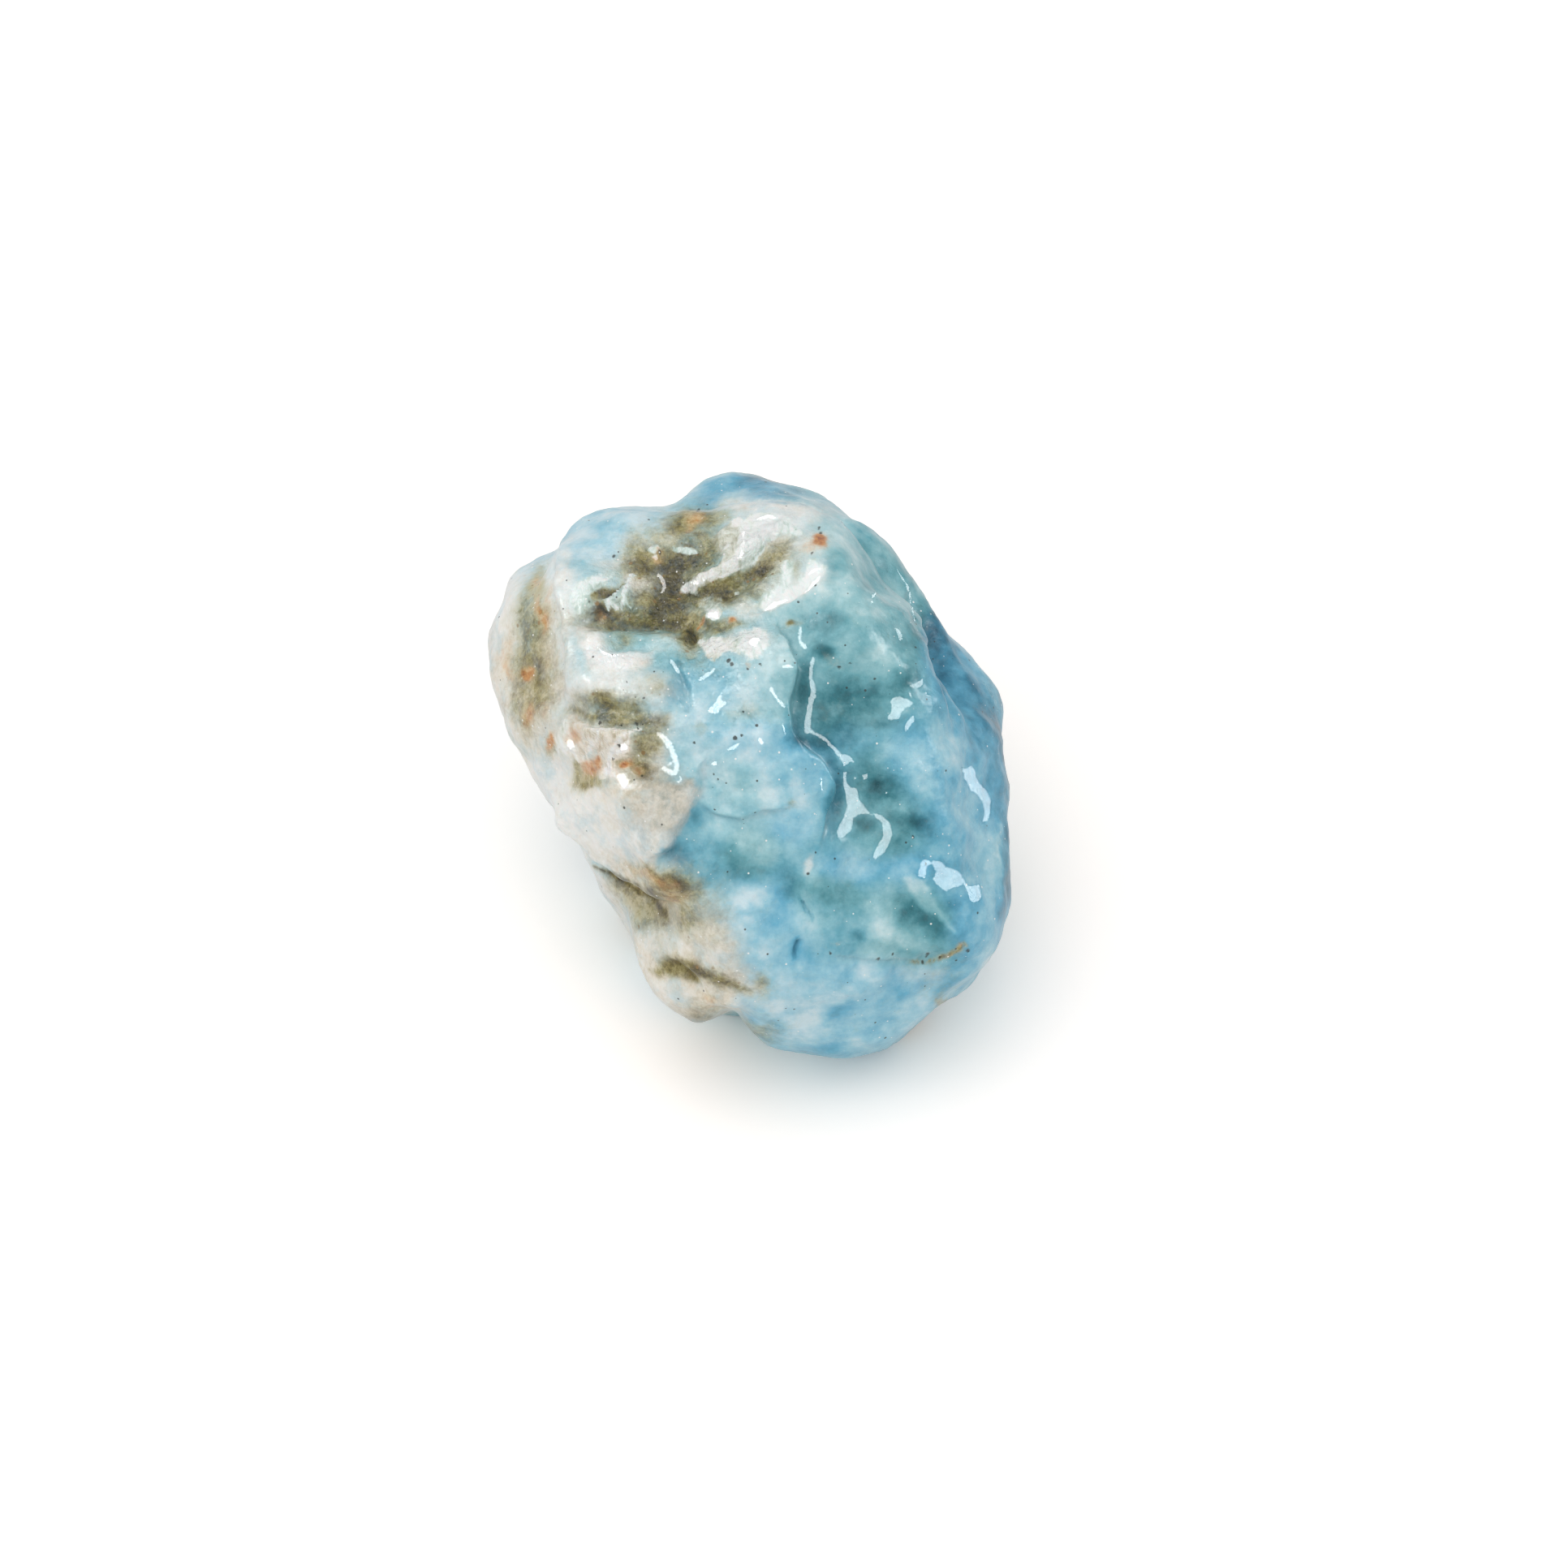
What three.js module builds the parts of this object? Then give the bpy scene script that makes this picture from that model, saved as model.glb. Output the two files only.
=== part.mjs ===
// Raw larimar: one natural stone of blue pectolite, broken off its vein and smoothed by water.
//
// Millimetres, +Z up. The stone lies on a flat of its underside at Z = 0, and its broad face looks
// up and towards -Y.
//
// The form is worked out in the stone's own axes, which the broad face gives: x runs across the face,
// y runs up it and z stands straight out of it, from a centre inside the stone. Every point of the
// surface lies on a ray from that centre. Its distance is that of a rounded block of named flats, plus
// named swells, furrows, ledges and pads, plus two sizes of even lumpiness. The block is then laid over
// until its broad face has the right lean, and whatever would go below the ground is flattened.

import * as THREE from 'three';
import { mergeVertices } from 'three/addons/utils/BufferGeometryUtils.js';

// ---- driving dimensions ----------------------------------------------------------------------------

const FACE_LEAN = 50; // degrees between the broad face's outward direction and level
const CENTRE_HEIGHT = 14.4; // of the stone's centre above the ground
const MESH_DETAIL = 19; // splits of each edge of the icosahedron that the surface starts from
const FRONT_GATHER = 0.72; // under 1, it draws the mesh's corners towards the broad face
const BLOCK_CRISPNESS = 24; // the higher, the sharper the edges between flats
const VIEW_DISTANCE = 268; // from which ledges and pads are laid out, square to the broad face

// Flats of the block. turn is measured round the face from +x towards +y, lift out of it towards +z.
const FLATS = [
  { name: 'brow', turn: 100, lift: 56, reach: 13.2 },
  { name: 'face', turn: -25, lift: 80, reach: 11.4 },
  { name: 'cheek', turn: 8, lift: 38, reach: 14.0 },
  { name: 'right_front', turn: 38, lift: 20, reach: 13.7 },
  { name: 'chin', turn: -78, lift: 42, reach: 15.3 },
  { name: 'temple', turn: 178, lift: 34, reach: 14.9 },
  { name: 'jaw', turn: 214, lift: 32, reach: 12.3 },
  { name: 'crown', turn: 95, lift: 5, reach: 16.4 },
  { name: 'crest', turn: 62, lift: -8, reach: 16.1 },
  { name: 'shoulder', turn: 134, lift: 6, reach: 18.0 },
  { name: 'left_end', turn: 163, lift: -5, reach: 17.1 },
  { name: 'long_side', turn: 208, lift: -5, reach: 11.8 },
  { name: 'toe_side', turn: 248, lift: -3, reach: 15.2 },
  { name: 'bottom', turn: -82, lift: -2, reach: 18.2 },
  { name: 'right_foot', turn: -44, lift: -2, reach: 18.2 },
  { name: 'right_side', turn: 0, lift: -6, reach: 15.2 },
  { name: 'right_crown', turn: 38, lift: -22, reach: 13.9 },
  { name: 'back', turn: 95, lift: -84, reach: 13.8 },
  { name: 'back_top', turn: 85, lift: -42, reach: 15.4 },
  { name: 'back_left', turn: 172, lift: -45, reach: 14.9 },
  { name: 'back_right', turn: 5, lift: -46, reach: 14.8 },
  { name: 'back_heel', turn: -75, lift: -72, reach: 14.6 },
];

// Round swells: where, how high and how wide.
const SWELLS = [
  { name: 'rear_lobe', at: [-1.4, 17.2, -4.5], height: 2.4, width: 2.2 },
  { name: 'rear_crest', at: [4.6, 16.2, -4.0], height: 1.5, width: 2.2 },
  { name: 'rear_shoulder', at: [9.4, 12.6, -1.5], height: 0.9, width: 2.2 },
  { name: 'rear_flank', at: [14.6, 4.4, -1.5], height: 0.5, width: 2.2 },
  { name: 'left_lobe', at: [-15.5, 8.5, -0.5], height: 1, width: 3.0 },
  { name: 'left_crown', at: [-14.9, 12.2, 0.0], height: 0.9, width: 1.6 },
  { name: 'left_waist', at: [-15.0, 1.2, 2.0], height: 0.5, width: 2.0 },
  { name: 'corner_knob', at: [-10.4, 15.2, 1.5], height: 0.7, width: 1.6 },
  { name: 'corner_dip', at: [-12.2, 14.2, 1.0], height: -0.5, width: 0.9 },
  { name: 'toe', at: [-5.4, -12.6, 4.0], height: 0.9, width: 2.4 },
  { name: 'toe_hollow', at: [-8.4, -10.8, 1.5], height: -0.7, width: 1.6 },
  { name: 'foot', at: [4.0, -16.5, 1.0], height: 0.7, width: 3.4 },
  { name: 'hip', at: [15.3, -7.2, -2.5], height: 0.8, width: 2.0 },
  { name: 'heel', at: [12.4, -12.6, 1.0], height: 0.4, width: 2.2 },
  { name: 'heel_dip', at: [11.3, -15.4, 0.5], height: -0.8, width: 1.1 },
  { name: 'right_swell', at: [11.0, -0.5, 9.0], height: 0.8, width: 2.6 },
  { name: 'back_boss', at: [-4.0, 3.0, -13.5], height: 0.9, width: 4.0 },
  { name: 'nape', at: [6.0, 8.0, -11.0], height: 0.8, width: 3.2 },
  { name: 'back_low', at: [3.0, -5.0, -13.0], height: 0.5, width: 3.0 },
  { name: 'foot_lobe', at: [7.6, -15.6, -3.0], height: 0.4, width: 1.9 },
  { name: 'foot_dip', at: [1.0, -16.6, -1.6], height: -0.9, width: 1.6 },
  { name: 'right_dip', at: [15.0, 1.0, -3.0], height: -0.7, width: 1.8 },
  { name: 'rear_left', at: [-10.0, 8.0, -9.0], height: 0.9, width: 3.0 },
];

// Furrows along a line through the stone's skin. A negative depth makes a rib.
const FURROWS = [
  { name: 'crown_valley', depth: 1.8, width: 1.2,
    line: [[-6.6, 16.4, 0.2], [-4.4, 16.8, 0.8], [-1, 16.8, 1.6], [2.5, 16.5, 2.2], [6, 14.8, 2.6],
      [8.8, 12.4, 2.8], [10.4, 9.4, 3], [11.6, 6.2, 3.6], [12.8, 3, 4.4], [13.4, 0.3, 5.6]] },
  { name: 'crown_notch', depth: 0.9, width: 1.1,
    line: [[-4.9, 16.2, -7.5], [-5, 17, -4], [-5.6, 17.2, -1.5], [-6.6, 16.6, 1]] },
  { name: 'left_crease', depth: 0.9, width: 0.9,
    line: [[-12.4, 14.2, 1], [-12.7, 12.4, 3], [-12.6, 10, 4.2], [-12.4, 6, 5], [-12.2, 2, 5],
      [-11, -1, 5]] },
  { name: 'notch', depth: 2.1, width: 1.2,
    line: [[-0.2, -17, -5], [-0.6, -15.8, -1], [-1, -15.4, 2.5], [-1.3, -14.8, 5.5], [-1.8, -13.6, 7.5]] },
  { name: 'toe_crevice', depth: 0.8, width: 0.5,
    line: [[0.2, -14, 6.5], [-1.4, -13.4, 6.8], [-3, -12.5, 7.2], [-4.8, -11.8, 6.8], [-6.4, -11.9, 5.6]] },
  { name: 'hip_crease', depth: 1.2, width: 0.7,
    line: [[15.6, -2.2, -4], [15.4, -3.2, -1], [14.9, -4.4, 1.8], [14.5, -6.5, 3], [14, -9, 4],
      [13.6, -11, 4]] },
  { name: 'under_jaw', depth: 0.8, width: 1,
    line: [[-12, -4.2, 1.5], [-9.8, -7.2, 4.5], [-7, -8.6, 7], [-4.5, -9.4, 9]] },
  { name: 'band_groove', depth: 0.35, width: 0.6,
    line: [[9.8, -12, 8], [12, -11.2, 7], [13.8, -10.2, 5.5]] },
  { name: 'back_furrow', depth: 0.9, width: 1.4,
    line: [[-12, -1, -7], [-6, -3, -12.5], [0, -1, -14.5], [6, 2, -14], [12, 1, -9.5]] },
  { name: 'back_furrow_2', depth: 0.7, width: 1.2,
    line: [[1, 16, -9], [2, 10, -13.5], [0, 4, -15], [-3, -1, -14.5]] },
];

// Ledges across the broad face, laid out as it is seen from in front. The ground on the left of the
// line's travel stands above that on its right. reach is how far the step carries before it fades, edge
// how wide the cliff is.
const LEDGES = [
  { name: 'crack', height: 1.5, reach: 2.6, edge: 0.25,
    line: [[3.9, -5.6], [4.35, -4.2], [4.5, -3.3], [4.75, -2.4], [4.85, -1.4], [4.8, -0.3], [4.3, 0.5],
      [3.2, 1.1], [2.5, 1.9], [2.4, 3], [2.5, 4.4], [2.75, 5.6], [2.85, 6.5], [2.4, 7.4], [1.6, 8.4],
      [1, 9.4]] },
  { name: 'tongue', height: 0.9, reach: 2.2, edge: 0.2,
    line: [[-6.4, -6], [-5.9, -5.3], [-5.1, -4.9], [-4.75, -4.2], [-4.2, -3.4], [-3.65, -2.4],
      [-3.3, -1.7], [-3.1, -0.4], [-2.6, 1]] },
  { name: 'jaw_ledge', height: 1.5, reach: 2.4, edge: 0.25,
    line: [[-12.6, -1.9], [-11.3, -3.5], [-10.2, -5], [-9.3, -6], [-8.2, -6.8], [-7, -7.35],
      [-6, -7.95], [-5.5, -8.9], [-5.3, -9.7]] },
  { name: 'cheek_edge', height: 1.2, reach: 2.2, edge: 0.25,
    line: [[12.4, 1.6], [11.6, 3.6], [10.9, 5.4], [10.55, 6.6], [10.3, 7.6], [10, 8.7], [9.8, 9.7],
      [9.6, 10.7], [9.3, 11.5], [8.8, 12.4], [7.9, 13.4], [6.9, 14.1], [6, 14.9], [5.3, 15.2],
      [4.4, 15.5], [3.4, 16.2], [2.2, 16.6]] },
  { name: 'plate_edge', height: 0.4, reach: 1.2, edge: 0.2,
    line: [[-3.6, -1.9], [-2.9, -2.8], [-1.8, -3.1], [-0.4, -3.1], [1, -2.8], [2.6, -2.2]] },
  { name: 'temple_edge', height: 0.9, reach: 2.2, edge: 0.4,
    line: [[-12, 13.6], [-12.3, 12.2], [-12.2, 10.8], [-11.9, 9.2], [-11.7, 7.4], [-11.7, 5.6],
      [-11.9, 3.6]] },
  { name: 'wedge_foot', height: 0.7, reach: 1, edge: 0.2,
    line: [[-4.9, 10.7], [-3.4, 11.1], [-2.3, 11.7], [-1.3, 12], [-0.8, 12.5], [0.2, 13.1],
      [0.7, 13.8], [1.6, 14.2], [3.2, 14.3]] },
];

// Oval pads and dips on the broad face, laid out the same way: middle, half widths, turn in degrees and
// height.
const PADS = [
  { name: 'bowl', at: [-5.1, 11.2], half: [1.5, 2.2], turn: 10, height: -1.2 },
  { name: 'brow_trough', at: [-7, 9.1], half: [3.6, 0.8], turn: 2, height: -1.1 },
  { name: 'brow_slot', at: [-1.2, 11.4], half: [2.5, 0.6], turn: 27, height: -0.7 },
  { name: 'bowl_tail', at: [-3.8, 8.2], half: [0.8, 1.2], turn: 0, height: -0.6 },
  { name: 'left_plate', at: [-10.1, 10.9], half: [1.4, 1.0], turn: 10, height: 0.5 },
  { name: 'olive_dip', at: [-8.7, 3.5], half: [2.9, 0.8], turn: -6, height: -0.8 },
  { name: 'crackle', at: [-8.6, 0.6], half: [2.7, 1.8], turn: -10, height: -0.35 },
  { name: 'tongue_pad', at: [-7.4, -3.4], half: [3.0, 2.2], turn: -35, height: 0.6 },
  { name: 'mid_lump', at: [0.2, 4.8], half: [1.9, 2.1], turn: 0, height: 0.7 },
  { name: 'mid_lump_2', at: [-1.8, 1.2], half: [1.6, 1.5], turn: 0, height: 0.35 },
  { name: 'mid_plate', at: [0.4, -1.2], half: [2.7, 1.8], turn: -5, height: 0.45 },
  { name: 'hollow', at: [6.6, 4], half: [3.0, 3.4], turn: 0, height: -0.9 },
  { name: 'hollow_low', at: [8.2, -2.2], half: [2.2, 2.2], turn: 20, height: -0.7 },
  { name: 'pool', at: [10.5, -9.1], half: [2.3, 1.7], turn: -25, height: -0.9 },
  { name: 'cheek_pad', at: [9, 9], half: [2.2, 2.6], turn: 10, height: 0.35 },
  { name: 'low_dip', at: [6.6, -7], half: [2.0, 1.4], turn: 15, height: -0.35 },
  { name: 'chin_pad', at: [5.5, -13.6], half: [3.6, 1.8], turn: 0, height: 0.5 },
  { name: 'toe_dip', at: [-7.2, -8.6], half: [1.6, 1.2], turn: -35, height: -0.6 },
];

// Even lumpiness all over: the size of a lump, its height and the pattern's own number.
const LUMPINESS = [
  { size: 5.0, height: 0.50, pattern: 5 },
  { size: 2.2, height: 0.26, pattern: 2 },
];
const LEDGE_WANDER = { size: 1.6, height: 0.35, patterns: [11, 12] }; // how a ledge's line strays

const FURROW_TAPER = 0.15; // share of a furrow's length over which each end rises
const LEDGE_TAPER = 0.2; // the same for a ledge
const FRONT_DEPTH = 3; // ledges and pads fade in over this height above the face's mid plane
const LINE_ROUNDINGS = 3; // times that each line's corners are cut

// ---- small mathematics -----------------------------------------------------------------------------

const radians = THREE.MathUtils.degToRad;
const smoothstep = THREE.MathUtils.smoothstep;

function directionOf(turn, lift) {
  const level = Math.cos(radians(lift));
  return new THREE.Vector3(
    Math.cos(radians(turn)) * level, Math.sin(radians(turn)) * level, Math.sin(radians(lift)));
}

// Corner cutting: each stretch gives two points, at a quarter and at three quarters of it.
function rounded(line) {
  let points = line.map(([x, y, z = 0]) => new THREE.Vector3(x, y, z));
  for (let pass = 0; pass < LINE_ROUNDINGS; pass += 1) {
    const cut = [points[0]];
    for (let i = 0; i + 1 < points.length; i += 1) {
      cut.push(points[i].clone().lerp(points[i + 1], 0.25), points[i].clone().lerp(points[i + 1], 0.75));
    }
    cut.push(points.at(-1));
    points = cut;
  }
  return points;
}

// Where a point stands to a line: how far off, on which side in the face's plane (+1 is the left of
// its travel), and how far along the line's chord, from 0 to 1.
function standing(point, line) {
  const SIDE_RANK = 1e-4; // at a corner, the stretch that the point is clearest of decides the side
  const stretch = new THREE.Vector3();
  const offset = new THREE.Vector3();
  let nearest = { rank: Infinity, distance: Infinity, side: 0 };
  for (let i = 0; i + 1 < line.length; i += 1) {
    stretch.subVectors(line[i + 1], line[i]);
    offset.subVectors(point, line[i]);
    const length = stretch.length();
    const across = (stretch.x * offset.y - stretch.y * offset.x) / length;
    const share = THREE.MathUtils.clamp(offset.dot(stretch) / length ** 2, 0, 1);
    const distance = offset.addScaledVector(stretch, -share).length();
    const rank = distance - SIDE_RANK * Math.abs(across);
    if (rank < nearest.rank) {
      nearest = { rank, distance, side: Math.sign(across) };
    }
  }
  const chord = new THREE.Vector3().subVectors(line.at(-1), line[0]);
  const along = offset.subVectors(point, line[0]).dot(chord) / chord.lengthSq();
  return { distance: nearest.distance, side: nearest.side, along: THREE.MathUtils.clamp(along, 0, 1) };
}

const taper = (along, share) => smoothstep(along, 0, share) * smoothstep(1 - along, 0, share);

// Gradient noise on a cubic lattice, from -1 to 1: each lattice point gets one of twelve slopes.
const SLOPES = [
  [1, 1, 0], [-1, 1, 0], [1, -1, 0], [-1, -1, 0], [1, 0, 1], [-1, 0, 1],
  [1, 0, -1], [-1, 0, -1], [0, 1, 1], [0, -1, 1], [0, 1, -1], [0, -1, -1],
];
const HASH = { x: 374761393, y: 668265263, z: 1442695041, pattern: 974634777, mix: 1274126177 };

function slopeAt(x, y, z, pattern) {
  const sum = Math.imul(x, HASH.x) + Math.imul(y, HASH.y) + Math.imul(z, HASH.z)
    + Math.imul(pattern, HASH.pattern);
  const seed = sum >>> 0;
  const mixed = Math.imul(seed ^ (seed >>> 13), HASH.mix) >>> 0;
  return SLOPES[((mixed ^ (mixed >>> 16)) >>> 0) % SLOPES.length];
}

function noise(point, size, pattern) {
  const scaled = point.toArray().map((value) => value / size);
  const cell = scaled.map(Math.floor);
  const inner = scaled.map((value, axis) => value - cell[axis]);
  const fade = inner.map((t) => t ** 3 * (t * (t * 6 - 15) + 10));
  let total = 0;
  for (let corner = 0; corner < 8; corner += 1) {
    const step = [corner & 1, (corner >> 1) & 1, (corner >> 2) & 1];
    const slope = slopeAt(cell[0] + step[0], cell[1] + step[1], cell[2] + step[2], pattern);
    let weight = 1;
    let rise = 0;
    step.forEach((one, axis) => {
      weight *= one ? fade[axis] : 1 - fade[axis];
      rise += (inner[axis] - one) * slope[axis];
    });
    total += weight * rise;
  }
  return total;
}

// ---- the stone's surface, along a ray --------------------------------------------------------------

const flats = FLATS.map(({ turn, lift, reach }) => ({ normal: directionOf(turn, lift), reach }));
const swells = SWELLS.map((swell) => ({ ...swell, at: new THREE.Vector3(...swell.at) }));
const furrows = FURROWS.map((furrow) => ({ ...furrow, line: rounded(furrow.line) }));
const ledges = LEDGES.map((ledge) => ({ ...ledge, line: rounded(ledge.line) }));

// The rounded block: a high power mean of the flats instead of their plain crossing.
function blockReach(direction) {
  const sum = flats.reduce(
    (total, { normal, reach }) => total + Math.max(0, normal.dot(direction) / reach) ** BLOCK_CRISPNESS, 0);
  return sum ** (-1 / BLOCK_CRISPNESS);
}

function swellRise(point) {
  return swells.reduce(
    (total, { at, height, width }) => total + height * Math.exp(-point.distanceToSquared(at) / (2 * width ** 2)),
    0);
}

function furrowRise(point) {
  return furrows.reduce((total, { line, depth, width }) => {
    const { distance, along } = standing(point, line);
    return total - depth * Math.exp(-((distance / width) ** 2)) * taper(along, FURROW_TAPER);
  }, 0);
}

// Where a point stands in front view.
function spotOf(point) {
  const growth = VIEW_DISTANCE / (VIEW_DISTANCE - point.z);
  return new THREE.Vector3(point.x * growth, point.y * growth, 0);
}

function ledgeRise(point) {
  const { size, height: wander, patterns } = LEDGE_WANDER;
  const spot = spotOf(point);
  const strayed = new THREE.Vector3(
    spot.x + wander * noise(point, size, patterns[0]), spot.y + wander * noise(point, size, patterns[1]), 0);
  return ledges.reduce((total, { line, height, reach, edge }) => {
    const { distance, side, along } = standing(strayed, line);
    const step = 0.5 * height * Math.tanh((side * distance) / edge);
    return total + step * Math.exp(-((distance / reach) ** 2)) * taper(along, LEDGE_TAPER);
  }, 0);
}

function padRise(point) {
  const spot = spotOf(point);
  return PADS.reduce((total, { at, half, turn, height }) => {
    const x = spot.x - at[0];
    const y = spot.y - at[1];
    const c = Math.cos(radians(turn));
    const s = Math.sin(radians(turn));
    const off = ((x * c + y * s) / half[0]) ** 2 + ((y * c - x * s) / half[1]) ** 2;
    return total + height * Math.exp(-off);
  }, 0);
}

function lumpRise(point) {
  return LUMPINESS.reduce((total, { size, height, pattern }) => total + height * noise(point, size, pattern), 0);
}

function surfacePoint(direction) {
  const reach = blockReach(direction);
  const point = direction.clone().multiplyScalar(reach);
  const front = smoothstep(point.z, 0, FRONT_DEPTH);
  const rise = swellRise(point) + furrowRise(point) + lumpRise(point)
    + front * (ledgeRise(point) + padRise(point));
  return direction.clone().multiplyScalar(reach + rise);
}

// ---- laying the mesh over the surface --------------------------------------------------------------

// Squeezes the sphere of directions towards +z as a stereographic map does, so triangles keep their
// shape while the broad face gets smaller ones than the back.
function gathered(direction) {
  const half = Math.tan(Math.acos(THREE.MathUtils.clamp(direction.z, -1, 1)) / 2) * FRONT_GATHER;
  const tilt = 2 * Math.atan(half);
  const level = Math.hypot(direction.x, direction.y) || 1;
  const out = Math.sin(tilt) / level;
  return new THREE.Vector3(direction.x * out, direction.y * out, Math.cos(tilt));
}

// Turns a point from the face's axes to the way the stone lies, and flattens what is below ground.
function laidDown(point) {
  const lean = radians(FACE_LEAN);
  const back = point.y * Math.sin(lean) - point.z * Math.cos(lean);
  const up = point.y * Math.cos(lean) + point.z * Math.sin(lean) + CENTRE_HEIGHT;
  return new THREE.Vector3(point.x, back, Math.max(up, 0));
}

function stoneGeometry() {
  const sphere = new THREE.IcosahedronGeometry(1, MESH_DETAIL);
  sphere.deleteAttribute('normal');
  sphere.deleteAttribute('uv');
  const geometry = mergeVertices(sphere);
  const corners = geometry.getAttribute('position');
  const corner = new THREE.Vector3();
  for (let i = 0; i < corners.count; i += 1) {
    corner.fromBufferAttribute(corners, i).normalize();
    const { x, y, z } = laidDown(surfacePoint(gathered(corner)));
    corners.setXYZ(i, x, y, z);
  }
  geometry.computeVertexNormals();
  return geometry;
}

const larimarBlue = new THREE.MeshStandardMaterial({ color: 0x93bfce, roughness: 0.25, metalness: 0 });

const stone = new THREE.Mesh(stoneGeometry(), larimarBlue);
stone.name = 'larimar_stone';

const group = new THREE.Group();
group.add(stone);

export default group;
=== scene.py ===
"""Raw larimar: the finished look of one wet, water-smoothed stone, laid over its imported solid.

Lengths in the classes below are millimetres in the stone's own axes, which its broad face gives: x runs
across the face, y up it and z straight out of it, from a centre inside the stone. A "spot" is a place on
the broad face as it is seen from in front, so its x and y are a little larger than the surface's own.
The stone's mesh is in metres in the frame's axes.
"""

import logging
import math
from dataclasses import dataclass, field, fields
from enum import Enum
from typing import Callable, Iterable, Sequence

import bpy
import numpy as np
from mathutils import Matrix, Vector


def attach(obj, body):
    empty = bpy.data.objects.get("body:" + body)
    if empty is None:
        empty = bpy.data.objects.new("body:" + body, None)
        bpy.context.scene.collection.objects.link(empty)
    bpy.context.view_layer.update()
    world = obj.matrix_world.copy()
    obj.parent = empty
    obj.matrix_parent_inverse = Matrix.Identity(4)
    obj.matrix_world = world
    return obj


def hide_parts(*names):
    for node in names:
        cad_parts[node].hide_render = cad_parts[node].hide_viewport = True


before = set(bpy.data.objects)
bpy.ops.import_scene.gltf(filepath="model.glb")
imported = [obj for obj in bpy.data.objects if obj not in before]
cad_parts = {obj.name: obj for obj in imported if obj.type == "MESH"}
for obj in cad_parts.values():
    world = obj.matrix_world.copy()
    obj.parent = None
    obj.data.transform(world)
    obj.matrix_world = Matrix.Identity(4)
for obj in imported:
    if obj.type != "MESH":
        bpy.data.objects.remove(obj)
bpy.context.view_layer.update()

LOG = logging.getLogger("larimar")
STONE_NODE = "larimar_stone"
MM = 0.001  # metres in a millimetre
FACE_LEAN = math.radians(50)  # between the broad face's outward direction and level
FACE_AXES = ((1.0, 0.0, 0.0), (0.0, math.sin(FACE_LEAN), math.cos(FACE_LEAN)),
             (0.0, -math.cos(FACE_LEAN), math.sin(FACE_LEAN)))  # the face's x, y and z in the frame's axes
CENTRE_HEIGHT = 14.4  # of the stone's centre above the ground
VIEW_DISTANCE = 268.0  # from the eye to the stone's centre

Array = np.ndarray
Spot = tuple[float, float]


# ---------------------------------------------------------------------------------------- small mathematics


def smoothstep(low: float, high: float, value: Array) -> Array:
    """Fade from 0 at low to 1 at high, level at both ends.

    Args:
        low: Where the fade starts.
        high: Where the fade ends.
        value: The values to fade.

    Returns:
        t * t * (3 - 2 t), with t the share of the way from low to high.
    """
    share = np.clip((value - low) / (high - low), 0.0, 1.0)
    return share * share * (3.0 - 2.0 * share)


def direction_of(turn: float, lift: float) -> Array:
    """Unit direction from two angles in degrees.

    Args:
        turn: Round the face, from +x towards +y.
        lift: Out of the face, towards +z.

    Returns:
        The direction's three parts.
    """
    turn_rad, lift_rad = math.radians(turn), math.radians(lift)
    level = math.cos(lift_rad)
    return np.array([math.cos(turn_rad) * level, math.sin(turn_rad) * level, math.sin(lift_rad)])


SLOPES = np.array(
    [(1, 1, 0), (-1, 1, 0), (1, -1, 0), (-1, -1, 0), (1, 0, 1), (-1, 0, 1),
     (1, 0, -1), (-1, 0, -1), (0, 1, 1), (0, -1, 1), (0, 1, -1), (0, -1, -1)], float)
WORD = 0xFFFFFFFF


def lattice_slopes(cell: Array, pattern: int) -> Array:
    """Pick one of the twelve slopes for each lattice point by an integer hash.

    Args:
        cell: Whole-number lattice points, one row each.
        pattern: The pattern's own number.

    Returns:
        One slope a row.
    """
    mixed = cell[:, 0] * 374761393 + cell[:, 1] * 668265263 + cell[:, 2] * 1442695041 + pattern * 974634777
    mixed &= WORD
    mixed = ((mixed ^ (mixed >> 13)) * 1274126177) & WORD
    return SLOPES[(mixed ^ (mixed >> 16)) % len(SLOPES)]


def noise(points: Array, size: float, pattern: int) -> Array:
    """Gradient noise from about -1 to 1.

    Each corner of the lattice cell adds the dot product of its slope and the way to the point, weighted by
    the quintic fade 6 t^5 - 15 t^4 + 10 t^3 on each axis.

    Args:
        points: Places, one row each.
        size: Side of a lattice cell.
        pattern: The pattern's own number.

    Returns:
        One value a row.
    """
    scaled = points / size
    cell = np.floor(scaled).astype(np.int64)
    inner = scaled - cell
    fade = inner ** 3 * (inner * (inner * 6.0 - 15.0) + 10.0)
    total = np.zeros(len(points))
    for corner in range(8):
        step = np.array([corner & 1, (corner >> 1) & 1, (corner >> 2) & 1])
        weight = np.prod(np.where(step, fade, 1.0 - fade), axis=1)
        total += weight * ((inner - step) * lattice_slopes(cell + step, pattern)).sum(axis=1)
    return total


def ridged(points: Array, size: float, pattern: int) -> Array:
    """Noise folded at zero, from 0 to about 1, so that it runs in sharp crests: (1 - |noise|) squared."""
    return (1.0 - np.abs(noise(points, size, pattern))) ** 2


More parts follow.
